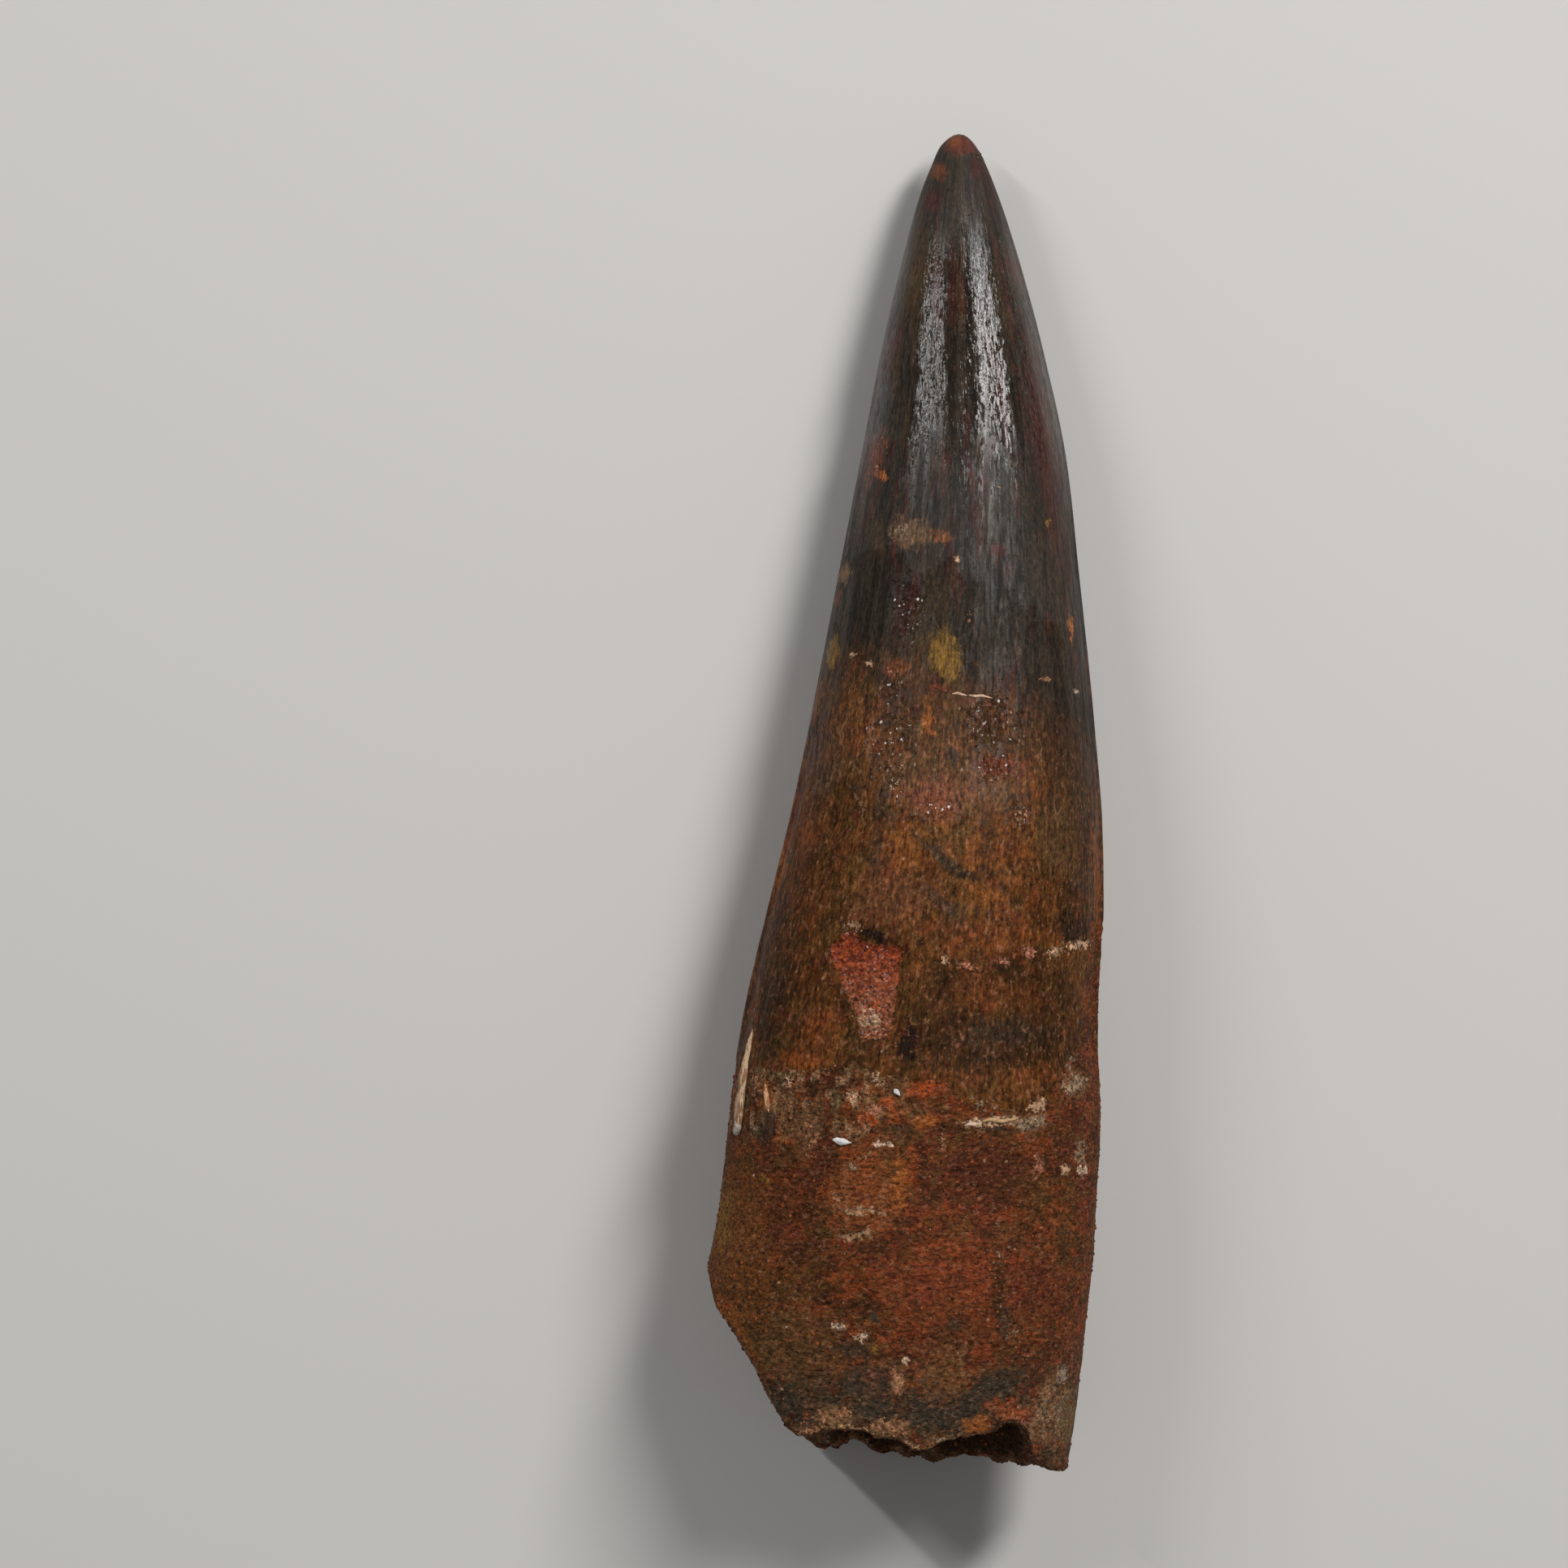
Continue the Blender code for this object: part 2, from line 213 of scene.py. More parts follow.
def rings_of_tooth(angle):
    """(x, s, z) and the zone (0 outside, 1 broken face, 2 cavity) of every ring, from tip to floor."""
    share = np.arange(1, CROWN_RINGS + 1)[:, None] / CROWN_RINGS
    s = SHEAR_START * share**RING_SPREAD * np.ones_like(angle)
    blocks = [(*skin(s, angle), s, 0)]
    end = BREAK_S
    for _ in range(BREAK_PASSES):
        end = break_at(*skin(end, angle))
    share = np.arange(1, ROOT_RINGS + 1)[:, None] / ROOT_RINGS
    s = SHEAR_START + (end - SHEAR_START) * share
    blocks.append((*skin(s, angle), s, 0))
    x_rim, z_rim = blocks[-1][0][-1], blocks[-1][1][-1]
    x_mouth, z_mouth = cavity_wall(angle, 1.0)
    share = np.arange(1, BREAK_RINGS + 1)[:, None] / BREAK_RINGS
    x = x_rim + (x_mouth - x_rim) * share
    z = z_rim + (z_mouth - z_rim) * share
    s = break_at(x, z) + lumps(x, 0.0, z, BREAK_LUMPS) * np.minimum(3 * share, 1)
    blocks.append((x, z, s, 1))
    s_mouth = s[-1]
    share = np.arange(1, CAVITY_RINGS + 1)[:, None] / CAVITY_RINGS
    x, z = cavity_wall(angle, 1 - (1 - CAVITY["floor_share"]) * share)
    blocks.append((x, z, s_mouth + (CAVITY["floor_s"] - s_mouth) * share, 2))
    share = np.arange(1, FLOOR_RINGS)[:, None] / FLOOR_RINGS
    x, z = cavity_wall(angle, CAVITY["floor_share"] * (1 - share))
    s = CAVITY["floor_s"] + CAVITY["bulge"] * share + lumps(x, CAVITY["floor_s"], z, FLOOR_LUMPS)
    blocks.append((x, z, s, 2))
    places = np.concatenate([np.stack((x, s, z), axis=-1) for x, z, s, _ in blocks])
    zones = np.concatenate([np.full(x.shape, float(zone)) for x, _, _, zone in blocks])
    return places, zones


def inside(corners, x, s):
    """Signed distance in mm from the outline with these corners: positive inside it."""
    points = np.array(corners)
    nearest = np.full(x.shape, np.inf)
    crossings = np.zeros(x.shape, dtype=int)
    for (x0, s0), (x1, s1) in zip(points, np.roll(points, -1, axis=0)):
        along = ((x - x0) * (x1 - x0) + (s - s0) * (s1 - s0)) / ((x1 - x0) ** 2 + (s1 - s0) ** 2)
        along = np.clip(along, 0, 1)
        nearest = np.minimum(nearest, np.hypot(x - x0 - along * (x1 - x0), s - s0 - along * (s1 - s0)))
        if s0 != s1:
            crossings += ((s0 > s) != (s1 > s)) & (x < x0 + (s - s0) * (x1 - x0) / (s1 - s0))
    return np.where(crossings % 2 == 1, nearest, -nearest)


turns = np.arange(AROUND) * 2 * math.pi / AROUND
places, zones = rings_of_tooth(turns)
tooth_low, tooth_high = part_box("tooth")
# Where the tables' x = 0 and s = 0 lie in the frame, in mm.
X_ZERO = (tooth_low[0] + tooth_high[0]) / 2 / MM - (places[..., 0].min() + places[..., 0].max()) / 2
S_ZERO = tooth_high[1] / MM


def to_frame(x, s, z):
    """From the tables' millimetres to the frame's metres."""
    return np.stack(((x + X_ZERO) * MM, (S_ZERO - s) * MM, z * MM), axis=-1)


def tooth_mesh():
    """The whole surface, closed at the tip and the cavity's floor, with what relief and finish read."""
    x_tip, z_tip, _, _ = section(0.0)
    x_floor, z_floor = cavity_wall(0.0, 0.0)
    ends = np.array([[x_tip, 0.0, z_tip], [x_floor, CAVITY["floor_s"] + CAVITY["bulge"], z_floor]])
    flat = places.reshape(-1, 3)
    points = np.concatenate((flat, ends))
    rings = len(places)
    index = np.arange(rings * AROUND).reshape(rings, AROUND)
    after = np.roll(index, -1, axis=1)
    quads = np.stack((after[:-1], index[:-1], index[1:], after[1:]), axis=-1).reshape(-1, 4)
    tip, floor = len(flat), len(flat) + 1
    caps = [(tip, int(a), int(b)) for a, b in zip(index[0], after[0])]
    caps += [(floor, int(b), int(a)) for a, b in zip(index[-1], after[-1])]
    mesh = bpy.data.meshes.new("fossil_tooth")
    mesh.from_pydata(to_frame(*points.T), [], quads.tolist() + caps)
    angle = np.broadcast_to(turns, zones.shape)
    zone = np.append(zones.ravel(), (0.0, 2.0))
    upper = np.append(np.sin(angle).ravel(), (0.0, 0.0))
    flake = np.where((upper > 0) & (zone == 0), inside(FLAKE, points[:, 0], points[:, 1]), -1.0)
    strip = np.where(upper > -0.05, inside(BARE_STRIP, points[:, 0], points[:, 1]), -1.0)
    bare = np.maximum(points[:, 1] - line(ENAMEL_END, points[:, 0]), strip)
    brown = points[:, 1] - line(BROWN_START, points[:, 0])
    around = np.stack((np.cos(angle), np.zeros_like(angle), np.sin(angle)), axis=-1).reshape(-1, 3) * 10
    flow = np.concatenate((around, np.zeros((2, 3))))
    flow[:, 1] = points[:, 1]
    glaze = np.zeros(len(points))
    for spot in GLAZE:
        glaze = np.maximum(glaze, np.clip(1.5 - reach_on_top(points, *spot), 0.0, 1.0))
    _, crust, tint = lime_and_sparkle_at(points)
    rim = np.clip(1 - (line(NEAR_BREAK, points[:, 0]) - points[:, 1]) / RIM_WIDTH, 0.0, 0.7)
    rim *= step(points[:, 0], *RIM_FROM) * (1 - step(points[:, 0], *RIM_TO))
    crust = np.maximum(crust, rim * (upper > 0) * (zone == 0))
    shares = {"zone": zone, "flake": flake, "bare": bare, "brown": brown, "glaze": glaze, "crust": crust}
    for name, values in shares.items():
        mesh.attributes.new(name, "FLOAT", "POINT").data.foreach_set("value", values.astype(np.float32))
    for name, values in (("flow", flow), ("tint", tint)):
        held = mesh.attributes.new(name, "FLOAT_VECTOR", "POINT").data
        held.foreach_set("vector", values.astype(np.float32).ravel())
    shape = bmesh.new()
    shape.from_mesh(mesh)
    bmesh.ops.recalc_face_normals(shape, faces=shape.faces)
    shape.to_mesh(mesh)
    shape.free()
    mesh.shade_smooth()
    return mesh


class Nodes:
    """A node tree that is built by calls. An input is given as a plain value or as another node's socket."""

    def __init__(self, tree):
        self.tree = tree

    def add(self, kind, inputs=None, **settings):
        made = self.tree.nodes.new(kind)
        for name, value in settings.items():
            setattr(made, name, value)
        for name, value in (inputs or {}).items():
            if isinstance(value, bpy.types.NodeSocket):
                self.tree.links.new(value, made.inputs[name])
            else:
                made.inputs[name].default_value = value
        return made

    def math(self, operation, *values, clamp=False):
        made = self.add("ShaderNodeMath", dict(enumerate(values)), operation=operation, use_clamp=clamp)
        return made.outputs[0]

    def vector(self, operation, *values):
        made = self.add("ShaderNodeVectorMath", dict(enumerate(values)), operation=operation)
        return made.outputs["Value" if operation in ("LENGTH", "DOT_PRODUCT", "DISTANCE") else "Vector"]

    def ramp(self, value, low, high):
        """0 where value is low, 1 where it is high, with a smooth step between."""
        inputs = {"Value": value, "From Min": low, "From Max": high}
        return self.add("ShaderNodeMapRange", inputs, interpolation_type="SMOOTHSTEP").outputs[0]

    def noise(self, place, size, detail=3.0, rough=0.5, colour=False):
        """Cloudy noise between 0 and 1 with lumps of the given size, in the units of place."""
        inputs = {"Vector": place, "Scale": 1 / size, "Detail": detail, "Roughness": rough}
        return self.add("ShaderNodeTexNoise", inputs).outputs["Color" if colour else "Fac"]

    def stretch(self, place, x, y, z):
        return self.vector("MULTIPLY", place, (x, y, z))

    def mix(self, share, first, second):
        """A colour between two colours."""
        inputs = {0: share, 6: as_colour(first), 7: as_colour(second)}
        return self.add("ShaderNodeMix", inputs, data_type="RGBA").outputs[2]

    def blend(self, share, first, second):
        """A number between two numbers."""
        return self.add("ShaderNodeMix", {0: share, 2: first, 3: second}).outputs[0]

    def random(self, low, high, seed):
        """A random number for each point."""
        inputs = {2: low, 3: high, 8: seed}
        return self.add("FunctionNodeRandomValue", inputs, data_type="FLOAT").outputs[1]

    def all_of(self, *shares):
        total = shares[0]
        for share in shares[1:]:
            total = self.math("MULTIPLY", total, share)
        return total


def as_colour(value):
    return (*value, 1.0) if isinstance(value, tuple) and len(value) == 3 else value


def sum_of(nodes, *terms):
    total = terms[0]
    for term in terms[1:]:
        total = nodes.math("ADD", total, term)
    return total


class Relief(Nodes):
    """A Geometry Nodes tree with named inputs that ends in Set Material."""

    def __init__(self, name, sizes, finishes=("Material",)):
        tree = bpy.data.node_groups.new(name, "GeometryNodeTree")
        super().__init__(tree)
        face = tree.interface
        face.new_socket("Geometry", in_out="INPUT", socket_type="NodeSocketGeometry")
        for label, value in sizes.items():
            whole = isinstance(value, int)
            kind = "NodeSocketInt" if whole else "NodeSocketFloat"
            face.new_socket(label, in_out="INPUT", socket_type=kind).default_value = value
        for label in finishes:
            face.new_socket(label, in_out="INPUT", socket_type="NodeSocketMaterial")
        face.new_socket("Geometry", in_out="OUTPUT", socket_type="NodeSocketGeometry")
        self.given = self.add("NodeGroupInput").outputs
        self.position = self.add("GeometryNodeInputPosition").outputs[0]
        self.normal = self.add("GeometryNodeInputNormal").outputs[0]

    def named(self, name, kind="FLOAT"):
        return self.add("GeometryNodeInputNamedAttribute", {"Name": name}, data_type=kind).outputs[0]

    def end(self, geometry, finishes=(("Material", True),)):
        """Closes the tree. Each finish is an input's name and its place; a later one covers an earlier."""
        geometry = self.add("GeometryNodeRealizeInstances", {"Geometry": geometry}).outputs[0]
        for label, where in finishes:
            inputs = {"Geometry": geometry, "Selection": where, "Material": self.given[label]}
            geometry = self.add("GeometryNodeSetMaterial", inputs).outputs[0]
        self.add("NodeGroupOutput", {"Geometry": geometry})
        return self.tree


def grow(name, mesh, tree, **finishes):
    """A new object whose mesh is the tree's result on this mesh. The modifier doesn't stay on it."""
    piece = bpy.data.objects.new(name, mesh)
    bpy.context.scene.collection.objects.link(piece)
    modifier = piece.modifiers.new("growth", "NODES")
    modifier.node_group = tree
    for item in tree.interface.items_tree:
        if item.item_type == "SOCKET" and item.in_out == "INPUT" and item.name in finishes:
            modifier[item.identifier] = finishes[item.name]
    evaluated = piece.evaluated_get(bpy.context.evaluated_depsgraph_get())
    result = bpy.data.meshes.new_from_object(evaluated)
    piece.modifiers.remove(modifier)
    piece.data = result
    result.name = name
    return piece


def tooth_relief():
    """Raises and sinks the smooth form: rippled enamel, sandy dentine, the lost flake and the break."""
    sizes = {
        "Enamel": 0.13, "Ripple": 0.016, "Sand": 0.09, "Crust": 0.16, "Swell": 0.10, "Flake depth": 0.42,
        "Break": 0.36,
    }
    labels = (
        "Glossy enamel", "Satin enamel", "Worn enamel", "Lower enamel", "Glazed enamel", "Neck finish",
        "Base finish", "Flake finish", "Break finish",
    )
    r = Relief("tooth_relief", sizes, labels)
    place = r.stretch(r.position, 1 / MM, 1 / MM, 1 / MM)
    s = r.math("SUBTRACT", S_ZERO, r.add("ShaderNodeSeparateXYZ", {0: place}).outputs["Y"])
    flow = r.named("flow", "FLOAT_VECTOR")
    zone = r.named("zone")
    outside = r.math("SUBTRACT", 1.0, zone, clamp=True)

    def uneven(place, size, detail=2.0, rough=0.5):
        """Noise between -1 and 1."""
        return r.math("MULTIPLY_ADD", r.noise(place, size, detail, rough), 2.0, -1.0)

    bare = sum_of(r, r.named("bare"), r.math("MULTIPLY", uneven(place, 0.8, 4.0, 0.6), 0.9))
    flake = sum_of(r, r.named("flake"), r.math("MULTIPLY", uneven(place, 0.6, 3.0, 0.6), 0.40))
    brown = sum_of(r, r.named("brown"), r.math("MULTIPLY", uneven(place, 2.6, 4.0, 0.6), 3.0))
    crown = r.ramp(bare, 0.15, -0.25)
    root = r.math("SUBTRACT", 1.0, crown)
    ripple = uneven(r.stretch(flow, 1.0, 0.08, 1.0), 0.8)
    ripple = r.all_of(ripple, r.given["Ripple"], crown, r.ramp(s, 3.0, 10.0))
    sand = r.all_of(uneven(place, 0.9, 3.0, 0.65), r.given["Sand"], root)
    crust = r.all_of(r.named("crust"), r.ramp(uneven(place, 0.9, 3.0, 0.6), -0.35, 0.35), r.given["Crust"])
    glaze = sum_of(r, r.named("glaze"), r.math("MULTIPLY", uneven(place, 0.8, 3.0, 0.6), 0.5))
    swell = r.all_of(uneven(place, 4.0), r.given["Swell"], r.ramp(s, 30.0, 75.0))
    bed = r.math("MULTIPLY_ADD", uneven(place, 0.6, 3.0, 0.6), 0.22, -0.8)
    lost = r.all_of(r.ramp(flake, -0.10, 0.16), bed, r.given["Flake depth"])
    missing = r.all_of(root, r.given["Enamel"], -1.0)
    height = sum_of(r, ripple, sand, swell, lost, missing, crust)
    broken = r.all_of(uneven(place, 0.9, 4.0, 0.6), r.given["Break"], r.math("MINIMUM", zone, 1.0))
    height = sum_of(r, r.math("MULTIPLY", height, outside), broken)
    moved = r.add("ShaderNodeVectorMath", {0: r.normal}, operation="SCALE")
    r.tree.links.new(r.math("MULTIPLY", height, MM), moved.inputs["Scale"])
    parts = r.add("ShaderNodeSeparateXYZ", {0: r.vector("ADD", r.position, moved.outputs[0])}).outputs
    above = {"X": parts["X"], "Y": parts["Y"], "Z": r.math("MAXIMUM", parts["Z"], 0.0)}
    resting = r.add("ShaderNodeCombineXYZ", above).outputs[0]
    marked = r.given["Geometry"]
    for name, value in (("bare", bare), ("flake", flake), ("brown", brown)):
        mark = {"Geometry": marked, "Name": name, "Value": value}
        marked = r.add("GeometryNodeStoreNamedAttribute", mark, data_type="FLOAT", domain="POINT").outputs[0]
    shaped = r.add("GeometryNodeSetPosition", {"Geometry": marked, "Position": resting})
    lower = r.math("MINIMUM", r.math("SUBTRACT", brown, WORN_FROM), r.math("SUBTRACT", s, LOWER_START))
    base = r.math("MINIMUM", bare, r.math("SUBTRACT", s, BASE_START))
    finishes = (
        ("Glossy enamel", True),
        ("Satin enamel", r.math("GREATER_THAN", brown, SATIN_FROM)),
        ("Worn enamel", r.math("GREATER_THAN", brown, WORN_FROM)),
        ("Lower enamel", r.math("GREATER_THAN", lower, 0.0)),
        ("Glazed enamel", r.math("GREATER_THAN", glaze, 0.4)),
        ("Neck finish", r.math("GREATER_THAN", bare, 0.0)),
        ("Base finish", r.math("GREATER_THAN", base, 0.0)),
        ("Flake finish", r.math("GREATER_THAN", flake, 0.05)),
        ("Break finish", r.math("GREATER_THAN", zone, 0.3)),
    )
    return r.end(shaped.outputs[0], finishes)


class Finish(Nodes):
    """A material whose nodes are built by calls. Its place is in mm, with s along the tooth as Y."""

    def __init__(self, name):
        material = bpy.data.materials.new(name)
        material.use_nodes = True
        super().__init__(material.node_tree)
        self.material = material
        self.surface = material.node_tree.nodes["Principled BSDF"]
        spot = self.add("ShaderNodeTexCoord").outputs["Object"]
        turned = self.stretch(spot, 1 / MM, -1 / MM, 1 / MM)
        self.place = self.vector("ADD", turned, (-X_ZERO, S_ZERO, 0.0))

    def named(self, name):
        made = self.add("ShaderNodeAttribute", attribute_name=name)
        return made.outputs["Vector" if name == "flow" else "Fac"]

    def set(self, **values):
        for name, value in values.items():
            socket = self.surface.inputs[name.replace("_", " ")]
            if isinstance(value, bpy.types.NodeSocket):
                self.tree.links.new(value, socket)
            else:
                socket.default_value = as_colour(value)

    def bump(self, height):
        """Tilts the surface as a relief of this height in mm would."""
        return self.add("ShaderNodeBump", {"Strength": 1.0, "Distance": MM, "Height": height}).outputs[0]

    def scale(self, colour, factor):
        made = self.add("ShaderNodeVectorMath", {0: colour}, operation="SCALE")
        self.tree.links.new(factor, made.inputs["Scale"])
        return made.outputs[0]

    def clouds(self, colour, place, size, tints, low=0.53, high=0.62):
        """Lays up to three tints (colour, strength) over a colour, each in torn clouds of its own."""
        cloudy = self.noise(place, size, 4.0, 0.62, colour=True)
        parts = self.add("ShaderNodeSeparateColor", {"Color": cloudy}).outputs
        for (tint, strength), part in zip(tints, parts):
            colour = self.mix(self.all_of(self.ramp(part, low, high), strength), colour, tint)
        return colour

    def facets(self, place, size):
        """A relief of small flat faces that each lean their own way. Its slopes stay under one."""
        cells = self.add("ShaderNodeTexVoronoi", {"Vector": place, "Scale": 1 / size}).outputs
        lean = self.vector("SUBTRACT", cells["Color"], (0.5, 0.5, 0.5))
        return self.vector("DOT_PRODUCT", lean, self.vector("SUBTRACT", place, cells["Position"]))

    def specks(self, place, size, share):
        """1 on small spots, of which there is one in this share of the cells of this size."""
        cells = self.add("ShaderNodeTexVoronoi", {"Vector": place, "Scale": 1 / size}).outputs
        picked = self.add("ShaderNodeSeparateColor", {"Color": cells["Color"]}).outputs["Red"]
        picked = self.math("GREATER_THAN", picked, self.math("SUBTRACT", 1.0, share))
        return self.all_of(picked, self.ramp(cells["Distance"], 0.32, 0.08))

    def grain(self, place, size, contrast):
        """Fine light and dark specks to multiply a colour with, about 1 on the average."""
        value = self.math("SUBTRACT", self.noise(place, size, 3.0, 0.7), 0.5)
        return self.math("MAXIMUM", self.math("MULTIPLY_ADD", value, contrast, 1.0), 0.12)


def top_height(x, s):
    """Height of the upper side in mm."""
    x_mid, z_mid, half_width, half_height = section(s)
    return float(z_mid + half_height * np.sqrt(np.maximum(1 - ((x - x_mid) / half_width) ** 2, 0.0)))


RUST = (0.24, 0.066, 0.016)
ORANGE = (0.36, 0.108, 0.022)
OCHRE = (0.24, 0.125, 0.022)
OLIVE = (0.100, 0.052, 0.014)
TAN = (0.26, 0.135, 0.062)
PINK = (0.36, 0.170, 0.095)
CREAM = (0.52, 0.390, 0.25)
PALE = (0.42, 0.400, 0.34)
CRIMSON = (0.070, 0.012, 0.009)
BRICK = (0.17, 0.038, 0.018)
BLACK = (0.010, 0.008, 0.007)
UMBER = (0.036, 0.018, 0.007)
SLATE = (0.046, 0.036, 0.024)
PURPLE = (0.072, 0.021, 0.011)
AMBER = (0.26, 0.085, 0.020)
MOSS = (0.17, 0.125, 0.055)
BUFF = (0.36, 0.20, 0.105)
# Painted glint: pale specks in this colour stand for sparkles of light on the enamel.
PAINTED_GLINT = (0.52, 0.34, 0.26)
FLAME = (0.42, 0.080, 0.020)
SANDY = (0.50, 0.29, 0.14)
BONE = (0.78, 0.54, 0.38)
LIME = (0.62, 0.37, 0.22)
CLAY = (0.42, 0.20, 0.10)
ROSE = (0.54, 0.22, 0.13)
ASH = (0.36, 0.24, 0.15)
SOOT = (0.014, 0.010, 0.007)
COAL = (0.040, 0.028, 0.019)
BARK = (0.070, 0.026, 0.007)
TAWNY = (0.180, 0.066, 0.018)
BLUSH = (0.26, 0.080, 0.045)
MUD = (0.150, 0.060, 0.032)
MOULD = (0.045, 0.040, 0.018)
COPPER = (0.28, 0.082, 0.026)
DUN = (0.115, 0.066, 0.026)
FAWN = (0.20, 0.095, 0.034)
DARK_DENTINE = (0.088, 0.025, 0.008)
RED_DENTINE = (0.190, 0.048, 0.013)
RAW_RED = (0.29, 0.052, 0.017)
RAW_PINK = (0.29, 0.095, 0.044)
DARK_BREAK = (0.055, 0.026, 0.013)
PALE_BREAK = (0.17, 0.080, 0.034)
DARK_LINING = (0.025, 0.013, 0.008)
PALE_LINING = (0.10, 0.048, 0.024)
